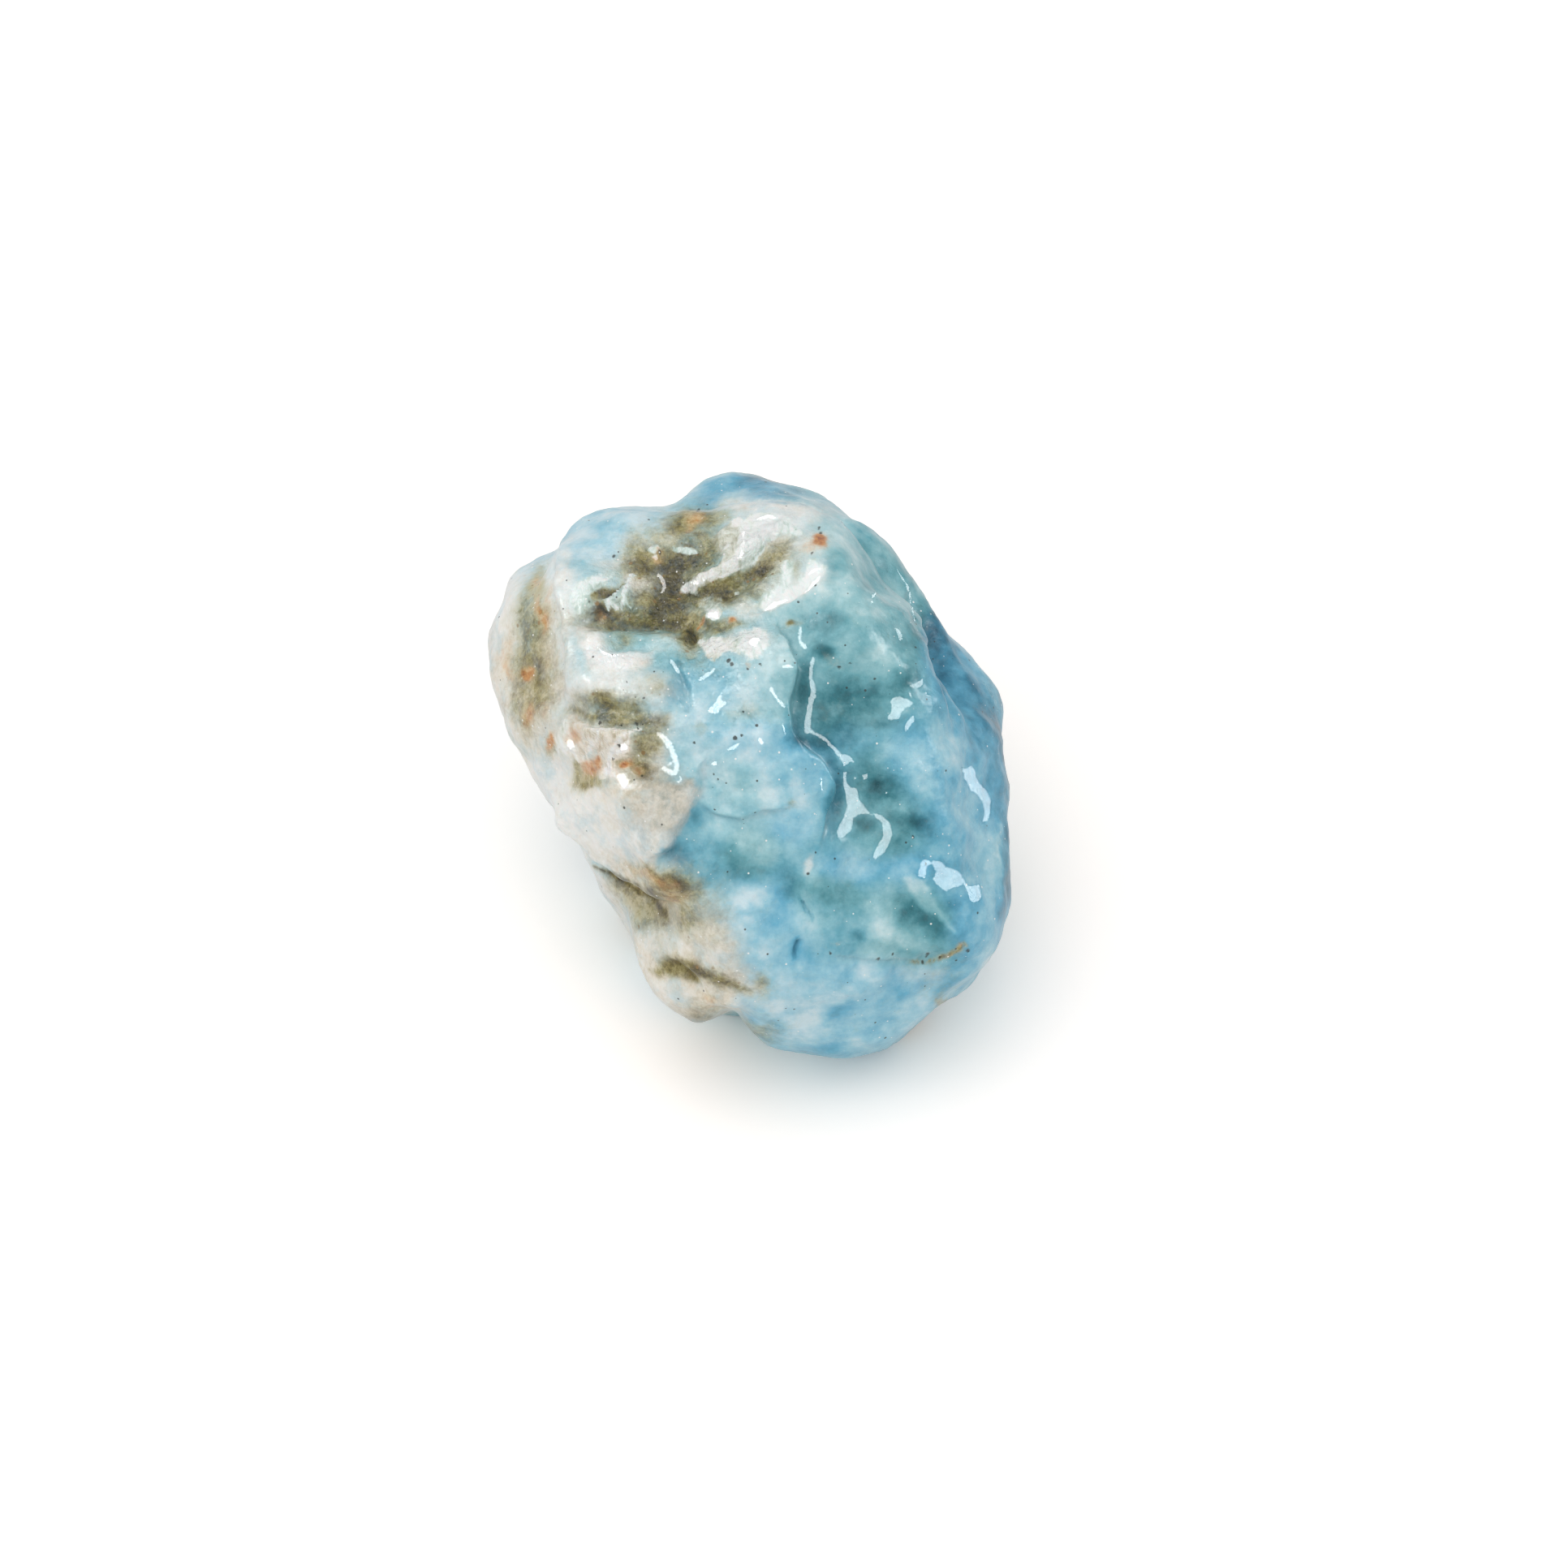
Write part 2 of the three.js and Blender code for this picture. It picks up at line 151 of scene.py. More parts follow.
@dataclass(frozen=True)
class Line:
    """A line over the stone with its corners cut, and what it can say about points near it."""

    corners: tuple[tuple[float, ...], ...]
    roundings: int = 3

    def points(self) -> Array:
        """Cut each corner at a quarter and three quarters of its stretches, keeping both ends.

        Returns:
            The rounded line's points, one row each.
        """
        line = np.array(self.corners, float)
        for _ in range(self.roundings):
            start, end = line[:-1], line[1:]
            cut = np.stack([0.75 * start + 0.25 * end, 0.25 * start + 0.75 * end], axis=1)
            line = np.vstack([line[:1], cut.reshape(-1, line.shape[1]), line[-1:]])
        return line

    def near(self, places: Array, margin: float) -> Array:
        """Mask of the places inside the line's box grown by a margin."""
        line = self.points()
        return np.all((places > line.min(0) - margin) & (places < line.max(0) + margin), axis=1)

    def standing(self, places: Array) -> tuple[Array, Array, Array]:
        """Where places stand to the line.

        Args:
            places: Places, one row each, with as many columns as the line.

        Returns:
            The distance to the nearest stretch, the side (+1 on the left of the line's travel), and the
            share along the line's chord from 0 to 1.
        """
        side_rank = 1e-4  # at a corner, the stretch that the place is clearest of decides the side
        line = self.points()
        nearest = np.full(len(places), np.inf)
        distance = np.full(len(places), np.inf)
        side = np.zeros(len(places))
        for start, stretch in zip(line[:-1], line[1:] - line[:-1]):
            length = np.linalg.norm(stretch)
            offset = places - start
            across = (stretch[0] * offset[:, 1] - stretch[1] * offset[:, 0]) / length
            share = np.clip(offset @ stretch / length ** 2, 0.0, 1.0)
            off = np.linalg.norm(offset - share[:, None] * stretch, axis=1)
            rank = off - side_rank * np.abs(across)
            closer = rank < nearest
            nearest[closer] = rank[closer]
            distance[closer] = off[closer]
            side[closer] = np.sign(across[closer])
        chord = line[-1] - line[0]
        along = np.clip((places - line[0]) @ chord / (chord @ chord), 0.0, 1.0)
        return distance, side, along


def ends_fade(along: Array, share: float) -> Array:
    """Fade that is 0 at both ends of a line and 1 between, over a share of its length at each end."""
    return smoothstep(0.0, share, along) * smoothstep(0.0, share, 1.0 - along)


# --------------------------------------------------------------------------------- what the form is made of


@dataclass(frozen=True)
class Flat:
    """One flat of the block: turn and lift of its outward direction in degrees, and its reach."""

    name: str
    turn: float
    lift: float
    reach: float


@dataclass(frozen=True)
class Swell:
    """A round swell: its middle in three dimensions, its height and its width."""

    name: str
    at: tuple[float, float, float]
    height: float
    width: float

    def rise(self, places: Array) -> Array:
        """Height times exp(-d^2 / (2 width^2)), with d the distance to the middle."""
        square = ((places - np.array(self.at)) ** 2).sum(axis=1)
        return self.height * np.exp(-square / (2.0 * self.width ** 2))


@dataclass(frozen=True)
class Furrow:
    """A furrow along a line through the skin. A negative depth makes a rib."""

    name: str
    depth: float
    width: float
    corners: tuple[tuple[float, ...], ...]
    end_share: float = 0.15

    def rise(self, places: Array) -> Array:
        """Minus depth times exp(-(d / width)^2), with d the distance to the line, faded at both ends.

        Args:
            places: Places with three columns, or two for a line on the broad face.

        Returns:
            One height a row.
        """
        line = Line(self.corners)
        total = np.zeros(len(places))
        near = line.near(places, 3.0 * self.width)
        distance, _, along = line.standing(places[near])
        total[near] = -self.depth * np.exp(-((distance / self.width) ** 2)) * ends_fade(along, self.end_share)
        return total


@dataclass(frozen=True)
class Ledge:
    """A step across the broad face: high on the left of its line's travel, low on the right."""

    name: str
    height: float
    reach: float
    edge: float
    corners: tuple[Spot, ...]
    end_share: float = 0.2

    def rise(self, spots: Array, edge_share: float = 1.0) -> Array:
        """Half the height times tanh(signed distance / edge), faded by exp(-(d / reach)^2) and at the ends.

        Args:
            spots: Spots on the broad face, one row each.
            edge_share: What to multiply the edge's width by.

        Returns:
            One height a row.
        """
        line = Line(self.corners)
        total = np.zeros(len(spots))
        near = line.near(spots, 2.7 * self.reach)
        distance, side, along = line.standing(spots[near])
        step = 0.5 * self.height * np.tanh(side * distance / (self.edge * edge_share))
        total[near] = step * np.exp(-((distance / self.reach) ** 2)) * ends_fade(along, self.end_share)
        return total


@dataclass(frozen=True)
class Pad:
    """An oval pad or dip on the broad face: middle, half widths, turn in degrees and height."""

    name: str
    at: Spot
    half: Spot
    turn: float
    height: float

    def offness(self, spots: Array) -> Array:
        """How far off spots are.

        Args:
            spots: Spots on the broad face, one row each.

        Returns:
            Squared distance from the middle, in half widths along the oval's own axes.
        """
        turn = math.radians(self.turn)
        x, y = spots[:, 0] - self.at[0], spots[:, 1] - self.at[1]
        along = (x * math.cos(turn) + y * math.sin(turn)) / self.half[0]
        across = (y * math.cos(turn) - x * math.sin(turn)) / self.half[1]
        return along ** 2 + across ** 2

    def rise(self, spots: Array) -> Array:
        """Height times exp(-offness)."""
        return self.height * np.exp(-self.offness(spots))


@dataclass
class StoneForm:
    """The stone's surface as a distance along each ray from its centre."""

    crispness: float = 24.0
    edge_share: float = 0.5
    front_depth: float = 3.0
    wander: tuple[float, float, int] = (1.6, 0.35, 11)  # size, reach and pattern of the ledges' straying
    flats: Sequence[Flat] = (
        Flat("brow", 100, 56, 13.2),
        Flat("face", -25, 80, 11.4),
        Flat("cheek", 8, 38, 14),
        Flat("right_front", 38, 20, 13.7),
        Flat("chin", -78, 42, 15.3),
        Flat("temple", 178, 34, 14.9),
        Flat("jaw", 214, 32, 12.3),
        Flat("crown", 95, 5, 16.4),
        Flat("crest", 62, -8, 16.1),
        Flat("shoulder", 134, 6, 18),
        Flat("left_end", 163, -5, 17.1),
        Flat("long_side", 208, -5, 11.8),
        Flat("toe_side", 248, -3, 15.2),
        Flat("bottom", -82, -2, 18.2),
        Flat("right_foot", -44, -2, 18.2),
        Flat("right_side", 0, -6, 15.2),
        Flat("right_crown", 38, -22, 13.9),
        Flat("back", 95, -84, 13.8),
        Flat("back_top", 85, -42, 15.4),
        Flat("back_left", 172, -45, 14.9),
        Flat("back_right", 5, -46, 14.8),
        Flat("back_heel", -75, -72, 14.6),
    )
    swells: Sequence[Swell] = (
        Swell("rear_lobe", (-1.4, 17.2, -4.5), 2.4, 2.2),
        Swell("rear_crest", (4.6, 16.2, -4), 1.5, 2.2),
        Swell("rear_shoulder", (9.4, 12.6, -1.5), 0.9, 2.2),
        Swell("rear_flank", (14.6, 4.4, -1.5), 0.5, 2.2),
        Swell("left_lobe", (-15.5, 8.5, -0.5), 1, 3),
        Swell("left_crown", (-14.9, 12.2, 0), 0.9, 1.6),
        Swell("left_waist", (-15, 1.2, 2), 0.5, 2),
        Swell("corner_knob", (-10.4, 15.2, 1.5), 0.7, 1.6),
        Swell("corner_dip", (-12.2, 14.2, 1), -0.5, 0.9),
        Swell("toe", (-5.4, -12.6, 4), 0.9, 2.4),
        Swell("toe_hollow", (-8.4, -10.8, 1.5), -0.7, 1.6),
        Swell("foot", (4, -16.5, 1), 0.7, 3.4),
        Swell("hip", (15.3, -7.2, -2.5), 0.8, 2),
        Swell("heel", (12.4, -12.6, 1), 0.4, 2.2),
        Swell("heel_dip", (11.3, -15.4, 0.5), -0.8, 1.1),
        Swell("right_swell", (11, -0.5, 9), 0.8, 2.6),
        Swell("back_boss", (-4, 3, -13.5), 0.9, 4),
        Swell("nape", (6, 8, -11), 0.8, 3.2),
        Swell("back_low", (3, -5, -13), 0.5, 3),
        Swell("foot_lobe", (7.6, -15.6, -3), 0.4, 1.9),
        Swell("foot_dip", (1, -16.6, -1.6), -0.9, 1.6),
        Swell("right_dip", (15, 1, -3), -0.7, 1.8),
        Swell("rear_left", (-10, 8, -9), 0.9, 3),
    )
    furrows: Sequence[Furrow] = (
        Furrow("crown_valley", 1.8, 1.2, (
            (-6.6, 16.4, 0.2), (-4.4, 16.8, 0.8), (-1, 16.8, 1.6), (2.5, 16.5, 2.2), (6, 14.8, 2.6),
            (8.8, 12.4, 2.8), (10.4, 9.4, 3), (11.6, 6.2, 3.6), (12.8, 3, 4.4), (13.4, 0.3, 5.6))),
        Furrow("crown_notch", 0.9, 1.1, (
            (-4.9, 16.2, -7.5), (-5, 17, -4), (-5.6, 17.2, -1.5), (-6.6, 16.6, 1))),
        Furrow("left_crease", 0.9, 0.9, (
            (-12.4, 14.2, 1), (-12.7, 12.4, 3), (-12.6, 10, 4.2), (-12.4, 6, 5), (-12.2, 2, 5),
            (-11, -1, 5))),
        Furrow("notch", 2.1, 1.2, (
            (-0.2, -17, -5), (-0.6, -15.8, -1), (-1, -15.4, 2.5), (-1.3, -14.8, 5.5), (-1.8, -13.6, 7.5))),
        Furrow("toe_crevice", 0.8, 0.5, (
            (0.2, -14, 6.5), (-1.4, -13.4, 6.8), (-3, -12.5, 7.2), (-4.8, -11.8, 6.8), (-6.4, -11.9, 5.6))),
        Furrow("hip_crease", 1.2, 0.7, (
            (15.6, -2.2, -4), (15.4, -3.2, -1), (14.9, -4.4, 1.8), (14.5, -6.5, 3), (14, -9, 4),
            (13.6, -11, 4))),
        Furrow("under_jaw", 0.8, 1, ((-12, -4.2, 1.5), (-9.8, -7.2, 4.5), (-7, -8.6, 7), (-4.5, -9.4, 9))),
        Furrow("band_groove", 0.35, 0.6, ((9.8, -12, 8), (12, -11.2, 7), (13.8, -10.2, 5.5))),
        Furrow("back_furrow", 0.9, 1.4, (
            (-12, -1, -7), (-6, -3, -12.5), (0, -1, -14.5), (6, 2, -14), (12, 1, -9.5))),
        Furrow("back_furrow_2", 0.7, 1.2, ((1, 16, -9), (2, 10, -13.5), (0, 4, -15), (-3, -1, -14.5))),
    )
    ledges: Sequence[Ledge] = (
        Ledge("crack", 1.5, 2.6, 0.25, (
            (3.9, -5.6), (4.35, -4.2), (4.5, -3.3), (4.75, -2.4), (4.85, -1.4), (4.8, -0.3), (4.3, 0.5),
            (3.2, 1.1), (2.5, 1.9), (2.4, 3), (2.5, 4.4), (2.75, 5.6), (2.85, 6.5), (2.4, 7.4), (1.6, 8.4),
            (1, 9.4))),
        Ledge("tongue", 0.9, 2.2, 0.2, (
            (-6.4, -6), (-5.9, -5.3), (-5.1, -4.9), (-4.75, -4.2), (-4.2, -3.4), (-3.65, -2.4),
            (-3.3, -1.7), (-3.1, -0.4), (-2.6, 1))),
        Ledge("jaw_ledge", 1.5, 2.4, 0.25, (
            (-12.6, -1.9), (-11.3, -3.5), (-10.2, -5), (-9.3, -6), (-8.2, -6.8), (-7, -7.35), (-6, -7.95),
            (-5.5, -8.9), (-5.3, -9.7))),
        Ledge("cheek_edge", 1.2, 2.2, 0.25, (
            (12.4, 1.6), (11.6, 3.6), (10.9, 5.4), (10.55, 6.6), (10.3, 7.6), (10, 8.7), (9.8, 9.7),
            (9.6, 10.7), (9.3, 11.5), (8.8, 12.4), (7.9, 13.4), (6.9, 14.1), (6, 14.9), (5.3, 15.2),
            (4.4, 15.5), (3.4, 16.2), (2.2, 16.6))),
        Ledge("plate_edge", 0.4, 1.2, 0.2, (
            (-3.6, -1.9), (-2.9, -2.8), (-1.8, -3.1), (-0.4, -3.1), (1, -2.8), (2.6, -2.2))),
        Ledge("temple_edge", 0.9, 2.2, 0.4, (
            (-12, 13.6), (-12.3, 12.2), (-12.2, 10.8), (-11.9, 9.2), (-11.7, 7.4), (-11.7, 5.6),
            (-11.9, 3.6))),
        Ledge("wedge_foot", 0.7, 1, 0.2, (
            (-4.9, 10.7), (-3.4, 11.1), (-2.3, 11.7), (-1.3, 12), (-0.8, 12.5), (0.2, 13.1), (0.7, 13.8),
            (1.6, 14.2), (3.2, 14.3))),
    )
    pads: Sequence[Pad] = (
        Pad("bowl", (-5.1, 11.2), (1.5, 2.2), 10, -1.2),
        Pad("brow_trough", (-7, 9.1), (3.6, 0.8), 2, -1.1),
        Pad("brow_slot", (-1.2, 11.4), (2.5, 0.6), 27, -0.7),
        Pad("bowl_tail", (-3.8, 8.2), (0.8, 1.2), 0, -0.6),
        Pad("left_plate", (-10.1, 10.9), (1.4, 1), 10, 0.5),
        Pad("olive_dip", (-8.7, 3.5), (2.9, 0.8), -6, -0.8),
        Pad("crackle", (-8.6, 0.6), (2.7, 1.8), -10, -0.35),
        Pad("tongue_pad", (-7.4, -3.4), (3, 2.2), -35, 0.6),
        Pad("mid_lump", (0.2, 4.8), (1.9, 2.1), 0, 0.7),
        Pad("mid_lump_2", (-1.8, 1.2), (1.6, 1.5), 0, 0.35),
        Pad("mid_plate", (0.4, -1.2), (2.7, 1.8), -5, 0.45),
        Pad("hollow", (6.6, 4), (3, 3.4), 0, -0.9),
        Pad("hollow_low", (8.2, -2.2), (2.2, 2.2), 20, -0.7),
        Pad("pool", (10.5, -9.1), (2.3, 1.7), -25, -0.9),
        Pad("cheek_pad", (9, 9), (2.2, 2.6), 10, 0.35),
        Pad("low_dip", (6.6, -7), (2, 1.4), 15, -0.35),
        Pad("chin_pad", (5.5, -13.6), (3.6, 1.8), 0, 0.5),
        Pad("toe_dip", (-7.2, -8.6), (1.6, 1.2), -35, -0.6),
    )
    lumpiness: Sequence[tuple[float, float, int]] = ((5.0, 0.50, 5), (2.2, 0.26, 2))

    def block_reach(self, directions: Array) -> Array:
        """Distance to the rounded block of flats.

        Args:
            directions: Unit directions, one row each.

        Returns:
            With s a direction's part along a flat over the flat's reach, and the sum over the flats:
            (sum of s^crispness)^(-1 / crispness), one distance a row.
        """
        normals = np.array([direction_of(flat.turn, flat.lift) for flat in self.flats])
        reaches = np.array([flat.reach for flat in self.flats])
        shares = np.clip(directions @ normals.T / reaches, 0.0, None)
        return (shares ** self.crispness).sum(axis=1) ** (-1.0 / self.crispness)

    def front(self, places: Array) -> Array:
        """Share from 0 to 1 of how far places lie towards the broad face."""
        return smoothstep(0.0, self.front_depth, places[:, 2])

    def reach(self, directions: Array) -> Array:
        """Distance from the centre to the stone's main surface.

        Args:
            directions: Unit directions, one row each.

        Returns:
            Block reach plus swells, furrows, lumpiness and, towards the front, ledges and pads.
        """
        block = self.block_reach(directions)
        places = directions * block[:, None]
        spots = spots_of(places)
        rise = sum(swell.rise(places) for swell in self.swells)
        rise = rise + sum(furrow.rise(places) for furrow in self.furrows)
        rise = rise + sum(height * noise(places, size, pattern) for size, height, pattern in self.lumpiness)
        wandered = spots + strayed(places, *self.wander)
        relief = sum(ledge.rise(wandered, self.edge_share) for ledge in self.ledges)
        relief = relief + sum(pad.rise(spots) for pad in self.pads)
        return block + rise + self.front(places) * relief


def spots_of(places: Array) -> Array:
    """Where places stand in front view: x and y times eye distance over (eye distance - z)."""
    return places[:, :2] * (VIEW_DISTANCE / (VIEW_DISTANCE - places[:, 2:3]))


def strayed(places: Array, size: float, reach: float, pattern: int) -> Array:
    """How far spots stray in x and y: two noises of a size, a pattern number apart, times a reach."""
    return reach * np.stack([noise(places, size, pattern), noise(places, size, pattern + 1)], axis=1)


# ---------------------------------------------------------------------------------------------- fine relief


@dataclass
class FineRelief:
    """Small steps, cracks and grains that only the finished surface has."""

    ledges: Sequence[Ledge] = (
        Ledge("plate_veil", 0.35, 0.7, 0.1, (
            (-1.5, 15.2), (-2.1, 14.7), (-2.3, 14), (-1.9, 13), (-2, 12.55), (-2.9, 12.1), (-3.9, 11.6))),
        Ledge("plate_foot", 0.7, 0.8, 0.1, (
            (-11, 8.9), (-10.2, 9.5), (-9.6, 9.8), (-9.2, 9.85), (-8.2, 10), (-7.1, 9.6))),
        Ledge("plate_slot", 0.5, 0.6, 0.1, ((-10.3, 10), (-9.3, 10.6), (-8.7, 11.2), (-8.3, 12))),
        Ledge("white_band_top", 0.6, 0.8, 0.14, (
            (-4.3, 7.2), (-5, 8.4), (-6, 8.4), (-7.5, 8.3), (-9, 8.2), (-10, 8.5), (-11, 9.1))),
        Ledge("white_band_edge", 0.4, 0.7, 0.1, (
            (-6, 6.9), (-7.5, 7.1), (-8.7, 6.95), (-9.25, 7.3), (-9.5, 8.4))),
        Ledge("crackle_top", 0.6, 0.9, 0.1, (
            (-6.2, 2.3), (-7.3, 2.2), (-8.5, 2.3), (-9.9, 2.3), (-10.5, 2.6), (-12, 3.1))),
        Ledge("brow_lip", 0.5, 0.9, 0.12, ((4.7, 12.6), (4, 11.3), (2.4, 10.2), (0.9, 9.6), (-0.6, 9.3))),
        Ledge("bead_step", 0.4, 0.5, 0.1, ((-5.6, 13.6), (-6.6, 13.6), (-6.7, 12.9))),
    )
    furrows: Sequence[Furrow] = (
        Furrow("wedge_crest", -0.3, 0.2, (
            (-1.1, 15.3), (-0.64, 14.9), (-0.6, 14), (-0.75, 13.2), (-1.4, 12.35), (-1.9, 11.95),
            (-3.3, 11.45), (-4.5, 10.8))),
        Furrow("wedge_arm", -0.25, 0.2, ((-0.7, 13.3), (0.2, 14), (1.2, 14.6), (2.2, 15.2), (2.6, 15.4))),
        Furrow("plate_rib", -0.28, 0.14, ((-7.4, 11.9), (-7.8, 10.9), (-7.8, 10))),
        Furrow("plate_rib_2", -0.22, 0.12, ((-7.9, 11.2), (-8.35, 10.4), (-9.3, 9.85))),
        Furrow("flake_arc", 0.16, 0.1, ((-8.75, 0.3), (-8.6, 1), (-8.1, 1.5), (-7.4, 1.75))),
        Furrow("bowl_wall", 0.35, 0.3, ((-5.9, 10.4), (-5.8, 9.6), (-5.9, 8.9))),
        Furrow("tail_crack", 0.3, 0.16, ((-4.1, 8.7), (-3.8, 8.2), (-3.6, 7.5))),
        Furrow("lump_groove", 0.4, 0.35, ((-5, 6.7), (-4.6, 5.6), (-4.2, 4.3), (-4, 3.2))),
        Furrow("mid_crack", 0.18, 0.12, ((-0.9, 3.5), (-0.1, 3.1), (0.3, 2.5))),
        Furrow("low_crack", 0.25, 0.12, ((2.8, -10.6), (2.7, -11.2), (2.5, -11.8))),
        Furrow("low_crack_2", 0.2, 0.12, ((3, -8.3), (3.3, -8.9), (3.6, -9.4))),
        Furrow("chin_line", 0.15, 0.12, ((4.6, -11.7), (6.4, -12), (8, -12.1), (10, -12))),
        Furrow("tongue_line", 0.12, 0.12, ((-11.2, -3.4), (-10.4, -4.6), (-9, -5.4), (-7.6, -6.1))),
    )
    grains: Sequence[tuple[float, float, int]] = ((1.8, 0.1, 6), (0.9, 0.06, 3), (0.45, 0.035, 4))
    broken_grains: Sequence[tuple[float, float, int]] = ((1.3, 0.22, 21), (0.6, 0.12, 22), (0.3, 0.06, 23))

    def rise(self, places: Array, front: Array, broken: Array) -> Array:
        """Small relief added to the main surface.

        Args:
            places: Places on the main surface.
            front: Share from 0 to 1 of how far each lies towards the broad face.
            broken: Share from 0 to 1 of how rough and torn the surface is there.

        Returns:
            One height a row: small ledges and cracks on the front, even grains, and crests where it is torn.
        """
        spots = spots_of(places) + strayed(places, 0.7, 0.16, 31)
        relief = sum(ledge.rise(spots) for ledge in self.ledges)
        relief = relief + sum(furrow.rise(spots) for furrow in self.furrows)
        total = front * relief
        total += sum(height * noise(places, size, pattern) for size, height, pattern in self.grains)
        crests = sum(height * (ridged(places, size, pattern) - 0.6)
                     for size, height, pattern in self.broken_grains)
        return total + broken * crests


# -------------------------------------------------------------------------------------------- mineral zones


@dataclass(frozen=True)
class Patch:
    """An oval patch with a wide soft edge: middle, half widths, strength from 0 to 1 and turn in degrees."""

    at: Spot
    half: Spot
    strength: float = 1.0
    turn: float = 0.0

    def share(self, spots: Array) -> Array:
        """Strength / (1 + d^4), with d the distance from the middle in half widths."""
        square = Pad("", self.at, self.half, self.turn, 1.0).offness(spots)
        return self.strength / (1.0 + square ** 2)


def ovals(*rows: tuple[float, ...]) -> tuple[Patch, ...]:
    """Patches from rows of middle x and y, half widths, and where they are wanted strength and turn."""
    return tuple(Patch(row[:2], row[2:4], *row[4:]) for row in rows)


def dots(*rows: tuple[float, float, float]) -> tuple[Patch, ...]:
    """Round patches from rows of middle x and y and half width."""
    return tuple(Patch((x, y), (half, half)) for x, y, half in rows)


def soft_inside(way: Array, softness: float) -> Array:
    """A half plus the way inside an edge over twice its softness, kept from 0 to 1."""
    return np.clip(0.5 + way / (2.0 * softness), 0.0, 1.0)


@dataclass(frozen=True)
class Area:
    """A patch within a closed outline: its edge's softness, its strength and its corners in turn."""

    softness: float
    strength: float
    corners: tuple[Spot, ...]

    def share(self, spots: Array) -> Array:
        """Strength times the soft share inside the outline.

        A spot is inside where a line from it towards +x crosses the outline an odd number of times.

        Args:
            spots: Spots on the broad face, one row each.

        Returns:
            One share a row, half the strength on the outline itself.
        """
        line = Line((*self.corners, self.corners[0]), roundings=0)
        total = np.zeros(len(spots))
        near = line.near(spots, self.softness)
        places = spots[near]
        distance = line.standing(places)[0]
        inside = np.zeros(len(places), bool)
        path = line.points()
        for (x1, y1), (x2, y2) in zip(path[:-1], path[1:]):
            crossed = (y1 > places[:, 1]) != (y2 > places[:, 1])
            across = x1 + (places[:, 1] - y1) * (x2 - x1) / ((y2 - y1) or 1.0)
            inside ^= crossed & (places[:, 0] < across)
        total[near] = self.strength * soft_inside(np.where(inside, distance, -distance), self.softness)
        return total


@dataclass(frozen=True)
class Streak:
    """A patch along a line: its edge's softness, its strength, its half widths on the way and the line."""

    softness: float
    strength: float
    half_widths: tuple[float, ...]
    corners: tuple[Spot, ...]

    def share(self, spots: Array) -> Array:
        """Strength times the soft share nearer to the line than the half width there.

        Args:
            spots: Spots on the broad face, one row each.

        Returns:
            One share a row.
        """
        line = Line(self.corners, roundings=2)
        path = line.points()
        total = np.zeros(len(spots))
        near = line.near(spots, max(self.half_widths) + self.softness)
        places = spots[near]
        distance = line.standing(places)[0]
        step = np.linalg.norm(places[:, None, :] - path[None, :, :], axis=2).argmin(axis=1)
        travel = np.linspace(0.0, 1.0, len(path))[step]
        width = np.interp(travel, np.linspace(0.0, 1.0, len(self.half_widths)), self.half_widths)
        total[near] = self.strength * soft_inside(width - distance, self.softness)
        return total


Shape = Patch | Area | Streak


def union(shapes: Iterable[Shape], spots: Array) -> Array:
    """Share covered by several shapes together.

    Args:
        shapes: The shapes.
        spots: Spots on the broad face, one row each.

    Returns:
        One minus the product of what each leaves bare.
    """
    bare = np.ones(len(spots))
    for shape in shapes:
        bare *= 1.0 - shape.share(spots)
    return 1.0 - bare


def highest(shapes: Iterable[Shape], spots: Array) -> Array:
    """Highest share of any shape."""
    return np.max([shape.share(spots) for shape in shapes], axis=0)


# Painted shade: the dark crease line under the jaw's ledge, laid in both the clay and the shade zones.
JAW_SHADE_LINE = ((-9.8, -6.25), (-8.2, -6.95), (-6.9, -7.6), (-5.9, -8.3), (-5.4, -9.3))


@dataclass(frozen=True)
class Drift:
    """How a mineral comes and goes behind: noise of a size and pattern, faded in between low and high."""

    size: float
    pattern: int
    low: float
    high: float
    most: float = 1.0
    finer: float = 0.0  # strength of the noise of a third of the size that is laid on

    def share(self, places: Array) -> Array:
        """Share of the mineral.

        Args:
            places: Places on the surface, one row each.

        Returns:
            Most times the fade of noise plus finer noise, from low to high.
        """
        cloud = noise(places, self.size, self.pattern)
        if self.finer:
            cloud += self.finer * noise(places, self.size / 3.0, self.pattern + 20)
        return self.most * smoothstep(self.low, self.high, cloud)


BEHIND = {
    "clay": Drift(6.0, 51, 0.25, 0.6, finer=0.45),
    "shade": Drift(2.0, 59, 0.1, 0.5),
    "rust": Drift(3.5, 52, 0.45, 0.8, 0.6, 0.45),
    "chalk": Drift(7.5, 53, 0.05, 0.55, finer=0.45),
    "warm": Drift(5.0, 60, 0.0, 0.5),
    "depth": Drift(4.0, 54, 0.15, 0.6, 0.8, 0.45),
    "pale": Drift(4.5, 57, 0.1, 0.6, 0.6, 0.45),
    "green": Drift(9.0, 55, -0.2, 0.4),
    "sky": Drift(8.0, 56, -0.1, 0.5),
    "broken": Drift(7.0, 58, 0.1, 0.5),
}


